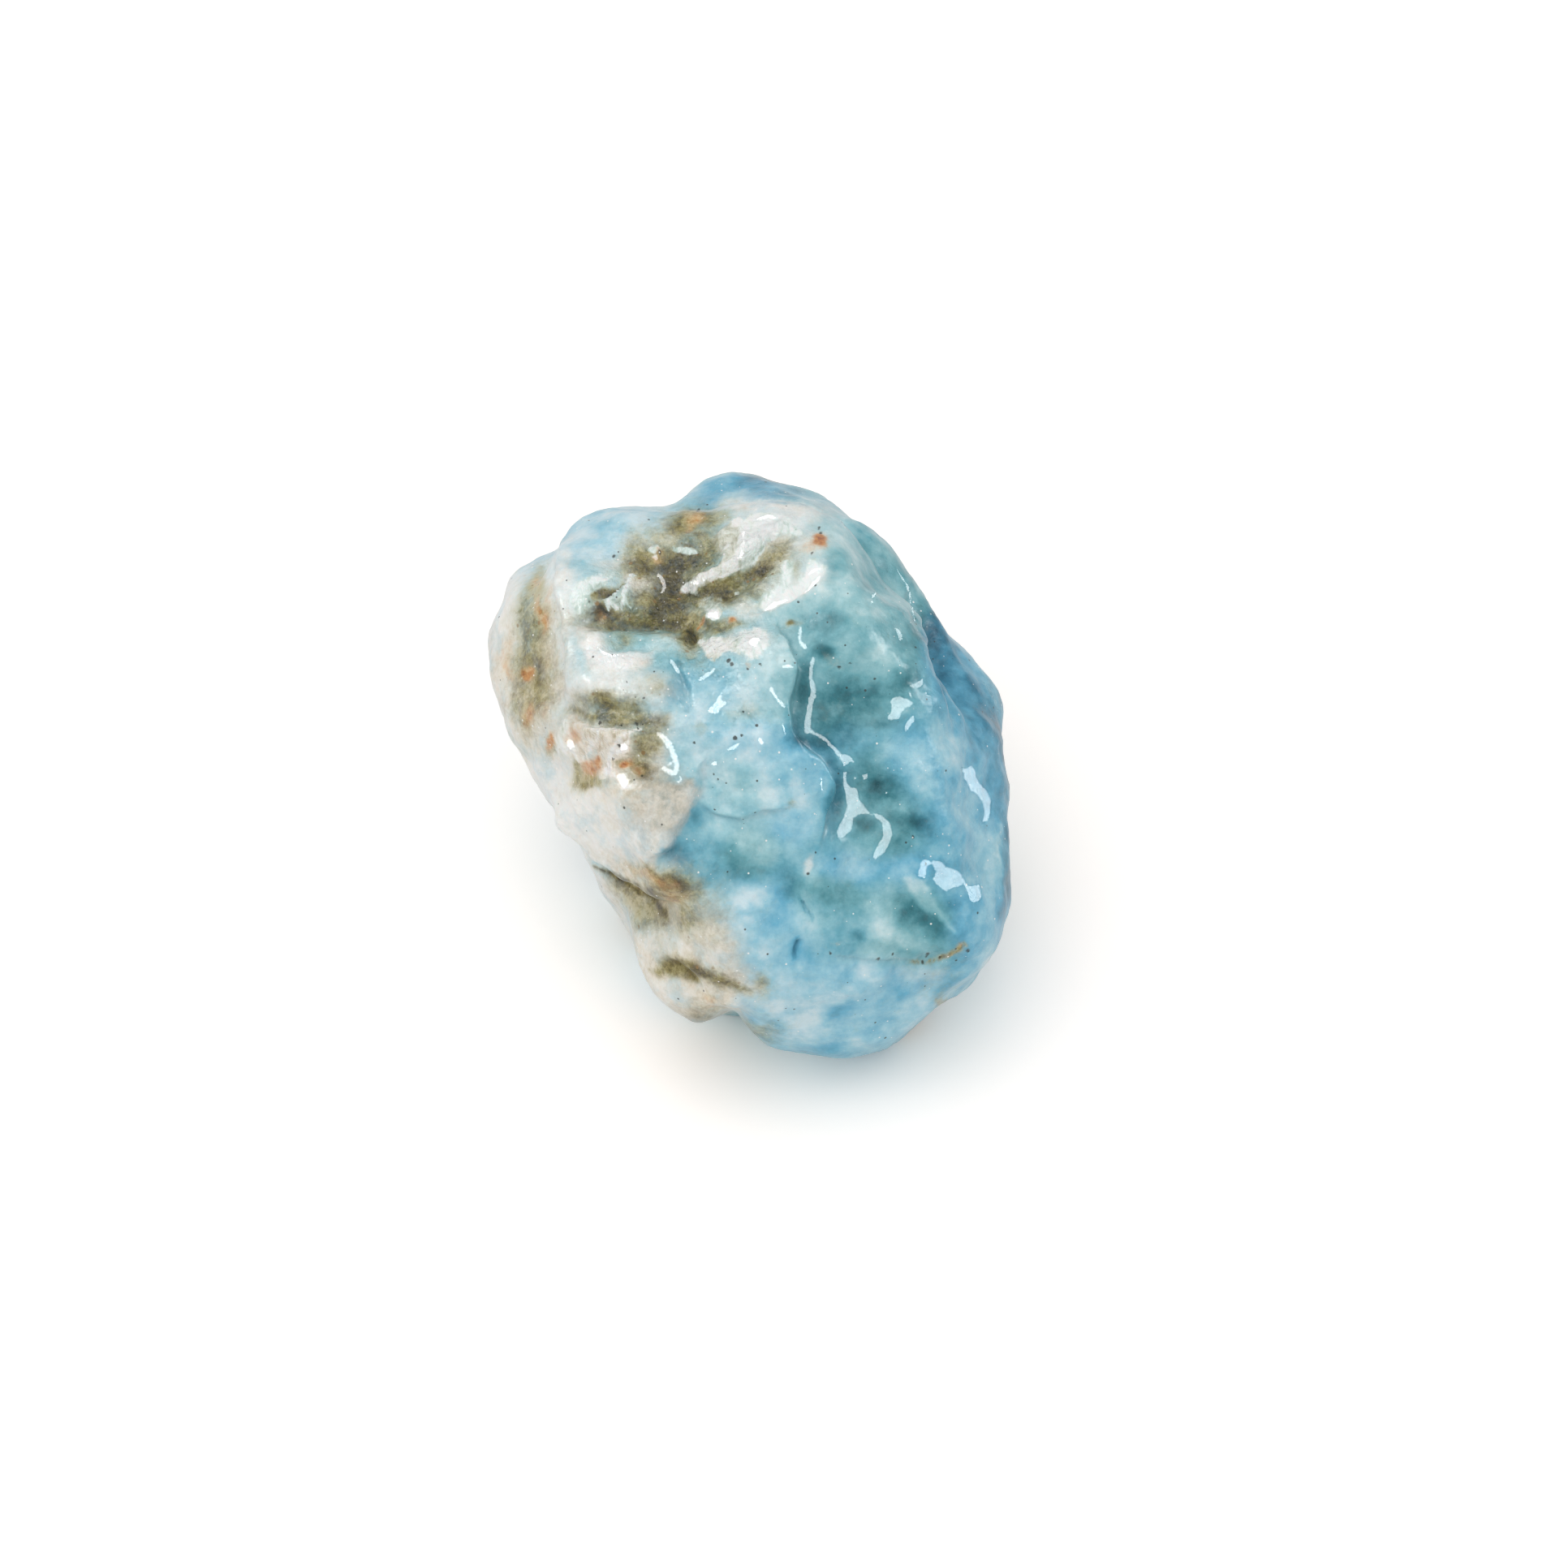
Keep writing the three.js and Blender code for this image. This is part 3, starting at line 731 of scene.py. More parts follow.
@dataclass
class MineralZones:
    """Where each mineral shows on the broad face. The finish reads the zones by their names here.

    Clay, rust, chalk, crystal and soot are minerals; depth, pale, green and sky steer the blue body; shade,
    bright and warm steer the others' tones; and broken is where the surface is torn. Some shapes are painted
    light or shade: clay and shade darken the crease under the jaw's ledge and the underside edge as painted
    shade, shade greys the tongue's right edge, depth deepens the crack's hollow partly as painted shade, pale
    lays one painted glint by the pool, crystal paints two small glints white, and bright is partly painted
    light on the crystal wedge and the left end.
    """

    clay: Sequence[Shape] = (
        *ovals(
            (-4.9, 11.3, 1.1, 1.3, 0.95), (-4.6, 12.7, 1.6, 0.8, 0.9, -10),
            (-3.6, 14.3, 1.5, 1.2, 0.55, -20), (-5.7, 14.3, 1.2, 0.8, 0.4, 20),
            (-4, 15.2, 1.5, 0.7, 0.75, 10), (-2.2, 15.5, 0.9, 0.4, 0.45, 10),
            (-7.2, 13.2, 1, 1.2, 0.55, 20), (-6.6, 12.4, 1.1, 0.6, 0.75), (-2.7, 13.2, 0.8, 0.6, 0.5),
            (-5.6, 9.8, 1.5, 1.1, 0.85), (-8.2, 9.1, 2.5, 0.75, 0.85), (-9.5, 9.5, 0.6, 0.5),
            (-7, 10.4, 1.1, 0.4, 0.45), (-4.4, 8.9, 1.6, 0.7, 0.95, -5), (-3.95, 7.8, 0.7, 0.9, 0.95, 10),
            (-8.3, 7.7, 0.8, 0.5, 0.45), (-1.8, 8.7, 1.3, 0.4, 0.75, 5), (-1.3, 11.5, 2.6, 0.5, 0.8, 27),
            (1.5, 13.6, 1.2, 0.5, 0.35, 30), (-1.6, 10.5, 0.6, 0.5, 0.8), (0.4, 12.1, 0.8, 0.35, 0.9, 10),
            (1.2, 13.2, 1.1, 0.5, 0.35, 35), (2.7, 12.2, 0.35, 0.7, 0.35), (1.3, 12.4, 1.5, 1.2, 0.35, 30),
            (-7.3, 12.2, 1.6, 0.8, 0.3), (-13.7, 8.5, 1.3, 3, 0.72, -3), (-13.9, 4.6, 1.2, 2.2, 0.66),
            (-12.8, 5.3, 0.9, 1.8, 0.4), (-13.4, 11.3, 0.4, 0.8, 0.7), (-14.2, 2.5, 0.4, 1.3, 0.4, 15),
            (2.4, 8.7, 0.35, 0.18, 0.9, 10), (-3, 6, 0.8, 0.4, 0.2), (-6.5, 1.3, 0.8, 1.1, 0.78, -25),
            (-6.9, -0.3, 0.5, 0.6, 0.8), (-10.8, -0.2, 0.45, 1.1, 0.8), (-10, -0.95, 0.6, 0.4, 0.75),
            (-7.1, -0.05, 0.5, 0.3, 0.6), (-9.7, 4.2, 1.2, 0.5, 0.7), (-5.9, 2.9, 0.7, 0.4, 0.5),
            (-6.2, 5, 1, 0.7, 0.4), (-5.9, -0.5, 1.2, 0.7, 0.35), (-2.6, 10.7, 1.6, 0.8, 0.85, 20),
            (-0.2, 11, 1.6, 0.6, 0.55, 27), (-3, 13.6, 1.2, 0.8, 0.3), (-10.2, -1, 0.9, 0.45, 0.75),
            (-8.1, 0.15, 0.8, 0.25, 0.5), (-12.6, 1.3, 0.35, 0.7, 0.6), (-5.1, -7.4, 1.4, 0.8, 0.75, -15),
            (-5, -7.6, 2.2, 1.4, 0.45, -15), (-6.9, -6.5, 1.2, 0.3, 0.5, -20), (-4.2, -9.4, 0.8, 1, 0.5),
            (-3, -10.2, 1.8, 1.1, 0.32), (-6.2, -9.8, 1.4, 1, 0.3), (-3, -14.6, 1.2, 0.7, 0.3),
            # Painted shade: the first two ovals on the next line darken the underside edge.
            (-2.2, -16.1, 3, 0.9, 0.5, -10), (0.4, -16.3, 1.4, 0.6, 0.35), (11.5, -13.6, 1.6, 1.2, 0.2),
            (-3.2, -12.6, 3.2, 0.8, 0.35, -22), (0.5, -13.4, 0.5, 0.7, 0.6),
            (-0.2, 3.3, 1.3, 0.5, 0.25, -5), (-3.2, 2.3, 0.5, 0.5, 0.3), (2.3, -2.5, 0.4, 0.3, 0.35, 30),
            (10.1, -12.15, 0.35, 0.14, 0.7, 10), (10.8, -12.1, 0.25, 0.12, 0.8, 15),
            (11.35, -11.75, 0.25, 0.16, 0.85, 25), (11.9, -11.55, 0.3, 0.16, 0.85, 25),
            (12.5, -11.25, 0.3, 0.16, 0.9, 25), (13, -11.05, 0.2, 0.12, 0.7, 25),
            (11.45, -14.5, 0.3, 0.35, 0.7, 30)),
        Area(0.15, 1, (
            (-10, 10.05), (-9.2, 10.2), (-8.4, 10.8), (-8.1, 11.3), (-8.4, 11.4), (-9, 11), (-9.8, 10.5))),
        Area(0.45, 0.78, (
            (-11.7, 3.3), (-10.9, 3.8), (-10, 3.5), (-9.6, 4.4), (-8.6, 4.5), (-7, 4.3), (-6.6, 3.3),
            (-5.7, 2.4), (-6.6, 2.2), (-7.5, 2.4), (-9, 2.3), (-10, 2.5), (-11, 3))),
        Area(0.5, 0.66, (
            (-9, -6.9), (-8, -6.95), (-7, -7.5), (-6, -8.05), (-5.4, -8.9), (-5.6, -9.7), (-6.3, -10),
            (-7.4, -9.7), (-8.4, -8.2))),
        # Painted shade: dark clay along the crease under the jaw's ledge.
        Streak(0.15, 1, (0.04, 0.13, 0.12, 0.12, 0.1), JAW_SHADE_LINE),
        Area(0.3, 0.9, (
            (-6.4, -12.6), (-5.6, -12), (-4.8, -11.75), (-3.9, -11.9), (-3, -12.5), (-1.9, -13),
            (-0.9, -13.5), (0, -13.95), (-1.2, -13.85), (-2.6, -13.4), (-4.2, -13.1), (-5.6, -12.9))),
    )
    # Painted shade in part: the jaw's crease, the greyer chalk at the tongue's right edge and the underside
    # edge at (-2.6, -16.2); the rest are darker cores of the clay.
    shade: Sequence[Shape] = (
        *ovals(
            (-5, 11.2, 1, 1.1), (-5.75, 9.8, 0.4, 1.1), (-3.3, 10.6, 1.2, 0.5, 0.5),
            (-4.6, 12.6, 0.8, 0.45), (-9.6, 9.45, 0.6, 0.3), (-8.9, 10.6, 0.6, 0.2, 1, 30),
            (-4.4, 9.9, 0.7, 0.25, 1, 15), (-6, 12.2, 0.5, 0.3, 0.7, -30), (-3.7, 11, 0.5, 0.12),
            (0.3, 12.1, 0.5, 0.2), (-1.5, 10.5, 0.5, 0.25, 0.6), (-3.9, 8.1, 0.3, 0.5),
            (-7.9, 8.7, 2.4, 0.25, 0.6), (-9.6, 2.85, 0.35, 0.25), (-7.3, 2.65, 0.25, 0.15),
            (-8.3, 3.8, 0.5, 0.3, 0.3), (-11.2, 3.5, 0.5, 0.25, 0.5, -20), (-8.1, -7.3, 0.7, 0.2, 1, -35),
            (-5.2, -7.3, 0.9, 0.35, 0.4, -10), (-5.6, -8.9, 0.2, 0.6, 0.9, 20),
            (-6.5, -9.8, 0.7, 0.18, 0.7, 10), (-4.8, -12.1, 0.7, 0.25, 0.5),
            (-3.2, -12.8, 0.9, 0.25, 0.5, -28), (-5, -3, 1, 1.4, 0.9), (-7, -2.9, 1.3, 0.9, 0.5),
            (-5.6, -1, 2, 0.9), (-6.1, 2.4, 0.9, 0.8, 0.4), (-2.6, -16.2, 2.6, 0.9, 0.9, -10),
            (-1.2, -12.2, 0.8, 1, 0.5), (-2, -8.8, 1, 0.8, 0.4), (-14.1, 8, 0.4, 1.5, 0.4),
            (-13.25, 6.25, 0.25, 0.25), (-1.05, 9.05, 0.25, 0.2)),
        # Painted shade: the crease under the jaw's ledge.
        Streak(0.2, 0.8, (0.05, 0.14, 0.13, 0.12, 0.1), JAW_SHADE_LINE),
        Streak(0.25, 0.6, (0.15, 0.2, 0.1), ((-9.1, -6.7), (-8.8, -7.7), (-8, -9), (-7, -9.9))),
    )
    rust: Sequence[Shape] = ovals(
        (10.6, -12.05, 0.3, 0.12, 0.25, 15), (11.7, -11.7, 0.3, 0.14, 0.3, 25),
        (12.6, -11.1, 0.3, 0.14, 0.4, 25), (-3.6, 15.3, 0.6, 0.6, 0.5, 10), (-3.5, 15.3, 0.25, 0.25, 0.3),
        (-3.9, 14.6, 0.3, 0.2, 0.4), (-5.75, 13.2, 0.3, 0.22, 0.6), (-6, 12.7, 0.4, 0.2, 0.5),
        (-1.3, 9.05, 0.28, 0.22, 0.9), (-3.3, 8.5, 0.1, 0.25, 0.7, -30), (-3.2, 8.95, 0.12, 0.3, 0.6),
        (-9.6, 9.3, 0.4, 0.3, 0.4), (-13.4, 9.7, 0.3, 0.8, 0.55, 10), (-12.75, 8.8, 0.25, 0.8, 0.45),
        (-12.6, 10.6, 0.2, 0.8, 0.4), (-13.4, 11.4, 0.2, 0.4, 0.5), (-14, 5.6, 0.45, 0.45, 0.75, 30),
        (-13.6, 6, 0.25, 0.2, 0.6, 30), (-12.7, 6.3, 0.35, 0.9, 0.2), (-15.4, 7, 0.5, 1.1, 0.35),
        (-15.1, 5.8, 0.4, 0.6, 0.35), (-14, 3.2, 0.5, 0.7, 0.4), (-12.6, 1.5, 0.22, 0.55, 0.9, -15),
        (-12.8, 3.6, 0.3, 0.6, 0.3), (-11, 2.7, 0.8, 0.3, 0.35, -20), (-10.9, 1.7, 0.45, 0.6, 0.5),
        (-9.95, -0.2, 0.5, 0.6, 0.75, -20), (-9.6, 0.25, 0.2, 0.4, 0.7), (-11.4, 1.9, 0.6, 0.5, 0.4, 30),
        (-13.9, 3.2, 0.5, 0.8, 0.4), (-12.9, 9, 0.2, 0.5, 0.4, 10), (-7.9, 0.05, 0.4, 0.2, 0.85, 5),
        (-7.5, 0.2, 0.4, 0.4, 0.4), (-7, -0.4, 0.4, 0.4, 0.4), (4.1, 13.75, 0.4, 0.35, 1, 10),
        (4.1, 14.15, 0.35, 0.3, 0.9), (3.4, 13.4, 0.55, 0.4, 0.4), (-6.9, -6.6, 1.3, 0.25, 0.4, -25),
        (-5.4, -7.4, 1.1, 0.5, 0.3, -15), (-4.9, -8.2, 0.7, 0.35, 0.4), (11.5, -14.5, 0.35, 0.25, 0.3, 30),
        (5.2, -11, 0.35, 0.15, 0.3, 30), (-2.7, -14.4, 0.5, 0.4, 0.4), (-0.45, 6.4, 0.25, 0.25, 0.45),
        (4.9, 6.5, 0.9, 0.5, 0.2, -20))
    chalk: Sequence[Shape] = (
        *ovals(
            (-6.4, -7.8, 2.4, 1.6, 0.95, -25), (-4.8, -6, 0.9, 0.6, 0.15), (-5.6, -0.9, 1.4, 0.7, 0.2),
            (-7.5, -1.1, 2, 0.8, 0.7), (-15.8, 7, 1.1, 4.6, 0.95), (-15.2, 10.8, 1, 1.8, 0.7),
            (-12.2, 11.2, 1.4, 1.4, 0.6), (-14.2, 3.5, 1.6, 3.6, 0.75), (-13.8, 0.4, 2.2, 2.6, 0.95, 20),
            (-11.8, 0.4, 1.4, 1.8, 0.9), (-12.6, 7, 0.7, 4, 0.85), (-11.5, 9, 0.6, 4.4, 0.55, 3),
            (-11.6, 4.2, 1, 1.4, 0.75), (-9.2, 0.8, 2.6, 1.9, 0.9, -5), (-6.2, 0.3, 0.8, 1.4, 0.3),
            (-7, 11.3, 1, 0.8, 0.8, -20), (-8.4, 5, 3.2, 0.9, 0.75), (-6.2, 4.3, 1.2, 0.9, 0.3),
            (-5.8, 2.6, 0.9, 1, 0.3), (-5.9, 0.4, 0.8, 1, 0.45), (-7.2, 11.4, 0.9, 0.5, 0.6, -15),
            (-8.6, 12.5, 1.4, 0.4, 0.45, 10), (-10.2, 8, 0.7, 0.9, 0.8), (-1.35, 14, 0.9, 1, 0.85),
            (-5.2, 14.3, 1.2, 0.6, 0.65, 30), (-4.5, 13.4, 0.8, 0.25, 0.7), (1.2, 15.9, 3, 0.6, 0.95, -5),
            (2.6, 13.7, 1.2, 0.8, 0.5), (1.3, 14.9, 2.4, 1, 0.85, 20), (0.8, 13, 1.2, 0.8, 0.5, 30),
            (-0.3, 9.7, 1.2, 0.6, 0.55), (-1.2, 7.6, 1.6, 0.7, 0.5), (0.3, 8, 0.8, 0.7, 0.35),
            (2.4, 10.6, 1.6, 0.7, 0.6, 25), (3.6, 12, 1, 1.2, 0.5), (1.6, 11.6, 1.8, 1.4, 0.4, 30),
            (-9.8, -7.2, 0.7, 1.8, 0.9, 25), (-3.4, -8.2, 1.8, 0.9, 0.3, -15),
            (3.4, -6.1, 0.28, 0.6, 0.6, -25), (10.3, -12.8, 1.6, 0.5, 0.35)),
        Area(0.22, 1, (
            (-15, -3), (-13, -0.9), (-11, -0.7), (-9.5, -1.3), (-7.5, -1.2), (-5.5, -0.9), (-3.9, -1),
            (-3.25, -1.6), (-3.65, -2.4), (-4.2, -3.4), (-4.75, -4.2), (-5.1, -4.9), (-5.9, -5.4),
            (-6.4, -6.6), (-7, -7.2), (-8.4, -6.7), (-9.6, -5.8), (-12, -6))),
        Area(0.3, 1, (
            (-10.7, 8.4), (-9.6, 8.4), (-9.3, 8), (-9.2, 7.2), (-8.4, 6.9), (-6.4, 7.1), (-6.5, 6.3),
            (-7.2, 5.8), (-9.6, 5.6), (-10.6, 6.3), (-10.4, 7.3))),
        Area(1.1, 1, (
            (-10, -7.2), (-9, -7.2), (-8.3, -8.2), (-7.5, -9.6), (-6.4, -10.2), (-5.2, -9.9), (-4.6, -9.2),
            (-3.4, -9.4), (-2.4, -9.2), (-1.6, -9.6), (-1, -10.4), (-1, -11.6), (-0.8, -12.4), (0.2, -13.2),
            (0.6, -14), (-0.6, -14.4), (-1.2, -15.6), (-3, -17), (-6.6, -17), (-9.4, -14), (-10.5, -10.8),
            (-11.4, -8))),
    )
    crystal: Sequence[Shape] = (
        *ovals(
            (-2.7, 10.1, 0.9, 0.7, 0.5), (-11.35, 1.6, 0.7, 0.8, 1, 20), (-8, 1.2, 0.5, 0.4, 1, 30),
            (-9.3, -0.5, 0.22, 0.3), (-8.75, -0.3, 0.2, 0.2), (-10.3, 2, 0.5, 0.3, 0.8, -20),
            (-9, 1.5, 0.5, 0.2, 0.8, 40), (-6.2, 13.4, 0.45, 0.25, 0.95), (-6.1, 12.9, 0.16, 0.12, 0.95),
            # Painted highlights: the two small white dots on the next line stand for glints.
            (-1, 10.7, 0.16, 0.13), (-0.7, 10, 0.13, 0.11)),
        Area(0.35, 0.62, (
            (-1.9, 12.8), (-2.35, 13.6), (-2.2, 14.5), (-1.7, 15), (-1, 15.3), (-0.8, 14.5), (-1, 13.6),
            (-1.4, 12.9))),
        Area(0.25, 1, (
            (-4.6, 10.8), (-4.2, 11.3), (-3.9, 11.3), (-3.64, 11.75), (-2.9, 12.1), (-2, 12.55),
            (-1.4, 13.2), (-1.1, 14), (-1.2, 14.7), (-1.3, 15.2), (-1, 15.35), (-0.6, 15.1), (-0.3, 15.6),
            (0.7, 15.7), (2, 15.4), (2.4, 14.9), (3, 14.5), (3, 14.25), (2.2, 14.35), (1.45, 14.2),
            (0.8, 13.7), (0.55, 13.2), (0.18, 12.7), (-0.64, 12.27), (-1.36, 11.8), (-2.2, 11.55),
            (-3.2, 11.2), (-3.6, 10.7))),
        Area(0.3, 0.68, (
            (-11.55, 10.2), (-11.45, 10.9), (-10.8, 11.55), (-10, 11.8), (-8.45, 11.95), (-8.7, 11.2),
            (-9.3, 10.6), (-9.8, 10.3), (-9.6, 9.85), (-10.2, 9.5), (-10.8, 9.05), (-11.1, 9.55))),
        Streak(0.1, 0.95, (0.03, 0.09, 0.09, 0.03), ((-9.3, 9.83), (-8.2, 10.02), (-7.2, 9.68))),
        Streak(0.1, 0.95, (0.08, 0.14, 0.1), ((-7.4, 11.85), (-7.8, 10.9), (-7.8, 10.05))),
        Streak(0.1, 0.9, (0.04, 0.1, 0.05), ((-7.9, 11.2), (-8.35, 10.4), (-9.2, 9.9))),
        Area(0.4, 0.95, (
            (-0.4, 9.7), (0.27, 9.95), (0.6, 9.7), (1, 9.35), (1.4, 9.9), (2.3, 10.1), (3.3, 10.8),
            (4, 11.2), (4.5, 12.1), (4.5, 12.5), (4, 12.5), (3.8, 12.9), (3.4, 12.8), (3.1, 11.7),
            (2.9, 11.9), (2.6, 11.3), (2.2, 11.2), (2.4, 12.1), (2.45, 12.7), (1.8, 12.55), (1.7, 11.9),
            (1.6, 11.2), (1.1, 11.6), (1.2, 11), (0.55, 10.5), (-0.1, 10))),
        Area(0.1, 1, ((-3, 9.1), (-2.9, 9.7), (-2.5, 9.9), (-2, 9.6), (-2.1, 9.1))),
        Area(0.3, 0.9, (
            (-3.6, 7.8), (-2.5, 8.1), (-1.2, 8), (-0.9, 7.6), (-0.9, 7), (-1.7, 7), (-2.4, 6.4),
            (-2.9, 6.8))),
        Area(0.35, 0.85, ((-1, 8.2), (0, 8.7), (0.9, 8.5), (1, 7.6), (0.4, 6.7), (-0.4, 6.5), (-0.9, 7.2))),
        Area(0.1, 0.95, (
            (-8.6, -0.5), (-7.4, -0.25), (-7.3, -0.6), (-7.6, -1.2), (-8.2, -1.5), (-8.3, -0.9))),
        Area(0.5, 0.72, (
            (-11.8, 3), (-11, 2.9), (-9.5, 2.2), (-7.2, 2.4), (-7.6, 1.2), (-8.4, 0.4), (-8.3, -0.5),
            (-9.2, -0.8), (-9.4, 0.6), (-10.2, 1), (-10.8, 0.4), (-12.1, 0.5))),
        Streak(0.1, 0.95, (0.05, 0.14, 0.12, 0.06), (
            (-8.6, -0.3), (-9, 0.5), (-8.8, 1.4), (-8.1, 2), (-7, 2.3))),
        Streak(0.1, 0.8, (0.04, 0.08, 0.05), ((-11.3, 3), (-10.2, 2.5), (-9, 2.2), (-8.2, 2.25))),
        Streak(0.1, 0.9, (0.05, 0.1, 0.05), ((-10.2, 1.3), (-10.35, 0.4), (-9.9, -0.6))),
        Streak(0.1, 0.9, (0.08, 0.16, 0.05), ((-12, 1), (-11.2, 0.9), (-10.5, 0.2))),
        Streak(0.15, 0.75, (0.1, 0.3, 0.15), ((-5.1, 13.5), (-4.6, 13.35), (-3.6, 13.3))),
    )
    # Lightens the other minerals: partly their own whiter crystal, partly painted light on the crystal
    # wedge's crest and top and on the left end, where the faces are lit less.
    bright: Sequence[Shape] = (
        *ovals(
            (-9.4, 11.6, 1.2, 0.3, 0.8, 8), (-7.3, -8.7, 1.2, 0.9, 0.9, -45), (-5.4, -11, 1.8, 0.8, 0.6),
            (-7.6, 13.8, 1.6, 0.5, 0.4), (-12, -3, 2.2, 1.8, 0.9), (-9.2, -4.4, 1.6, 0.8, 0.5),
            (-3.6, -10.6, 1.4, 0.8, 0.3), (0.4, 15.2, 0.4, 0.5, 0.7), (3.6, 11.6, 0.7, 0.9, 0.9, -30),
            (2, 11.9, 0.3, 0.7, 0.7), (1.4, 15.2, 2.2, 1, 0.8), (-2.5, 9.4, 0.4, 0.3), (0.1, 7.7, 1.1, 1.2),
            (-2.4, 7.4, 1, 0.6, 0.8, -10), (1.4, 10.2, 1.4, 0.5, 0.9, 25), (2.7, 11, 0.9, 0.5, 0.8, 30),
            (4.1, 12, 0.4, 0.6, 0.9), (-12.5, -0.8, 2.2, 1.3, 0.9), (-12.9, 10.8, 1.3, 2, 0.9),
            (-10.9, 11, 0.5, 0.7, 0.6), (-15.4, 10.4, 1.1, 2.2), (-10, -3.4, 1.6, 1.2, 0.3),
            (-11.5, 1.4, 0.5, 0.6, 0.9), (-8, 1.15, 0.4, 0.3, 0.9, 30), (-9, -0.4, 0.5, 0.3, 0.8),
            (-7.7, -1.2, 0.6, 0.2), (-6.1, 12.9, 0.2, 0.2)),
        Streak(0.2, 1, (0.14, 0.2, 0.16, 0.2, 0.2, 0.16, 0.12), (
            (-1.1, 15.3), (-0.64, 14.9), (-0.6, 14), (-0.75, 13.2), (-1.4, 12.35), (-2.3, 11.8),
            (-3.4, 11.4), (-4.4, 10.9))),
        Streak(0.4, 1, (0.3, 0.6, 0.6, 0.4), ((-0.7, 13.2), (0.2, 14.3), (1.2, 14.9), (2, 15.1))),
        Streak(0.15, 0.8, (0.05, 0.08, 0.05), (
            (-1, 15.4), (-1.8, 15), (-2.3, 14.3), (-2.2, 13.4), (-1.9, 12.8))),
        Streak(0.12, 1, (0.05, 0.1, 0.1, 0.06), (
            (-4.3, 10.8), (-3, 11.15), (-1.5, 11.7), (-0.5, 12.25), (0.4, 12.9), (0.9, 13.7),
            (2.2, 14.35))),
        Streak(0.1, 0.9, (0.04, 0.08, 0.04), ((0.1, 15.6), (0.1, 14.9), (0, 14.2))),
        Streak(0.1, 0.9, (0.04, 0.08, 0.04), ((1, 15.6), (1, 15), (0.8, 14.3))),
        Streak(0.1, 1, (0.04, 0.09, 0.05), ((-8.8, -0.4), (-9, 0.3), (-8.7, 1), (-8.2, 1.8), (-7, 2.25))),
        Streak(0.1, 0.9, (0.04, 0.08, 0.05), ((-9.9, -0.6), (-10.35, 0.4), (-10.1, 1.3), (-9.3, 2.1))),
        Streak(0.1, 0.9, (0.04, 0.08, 0.05), ((-11.6, 2.9), (-10.2, 2.5), (-9, 2.2), (-7.4, 2.35))),
        Area(0.4, 1, (
            (-10.6, 8.2), (-9.5, 8.2), (-9.4, 7.3), (-8.7, 6.9), (-7.5, 7.1), (-6.6, 7), (-7.6, 6),
            (-9.4, 5.9), (-10.5, 6.9))),
        Streak(0.15, 1, (0.1, 0.14, 0.1), (
            (-7.4, 11.8), (-7.8, 10.9), (-7.8, 10), (-8.4, 10), (-9.2, 9.9))),
    )
    warm: Sequence[Shape] = ovals(
        (-15, 2.5, 1.4, 5, 0.7, 15), (-9.3, -1.2, 2.4, 1.6, 0.6, -10), (-10, -3.5, 1.8, 1.6, 0.5),
        (-15.4, 7, 1, 3, 0.7), (-12.8, 6, 0.8, 3, 0.8), (-6.5, -7, 2.2, 0.9, 0.9, -20),
        (-6, -11, 4, 3.4, 0.9, -15), (-3.4, -8.6, 2, 1, 0.4), (-2.6, -14.4, 2, 1, 0.8),
        (-2.5, 15.3, 2.4, 0.7, 0.6), (-1, 9.6, 1.4, 0.8, 0.5), (-9.3, 1, 2.8, 2),
        (-1.6, 13.6, 0.9, 1.6, 0.5), (-3, 11.5, 1.6, 0.6, 0.6, 20), (-2.4, 7.3, 1.3, 0.8, 0.5))
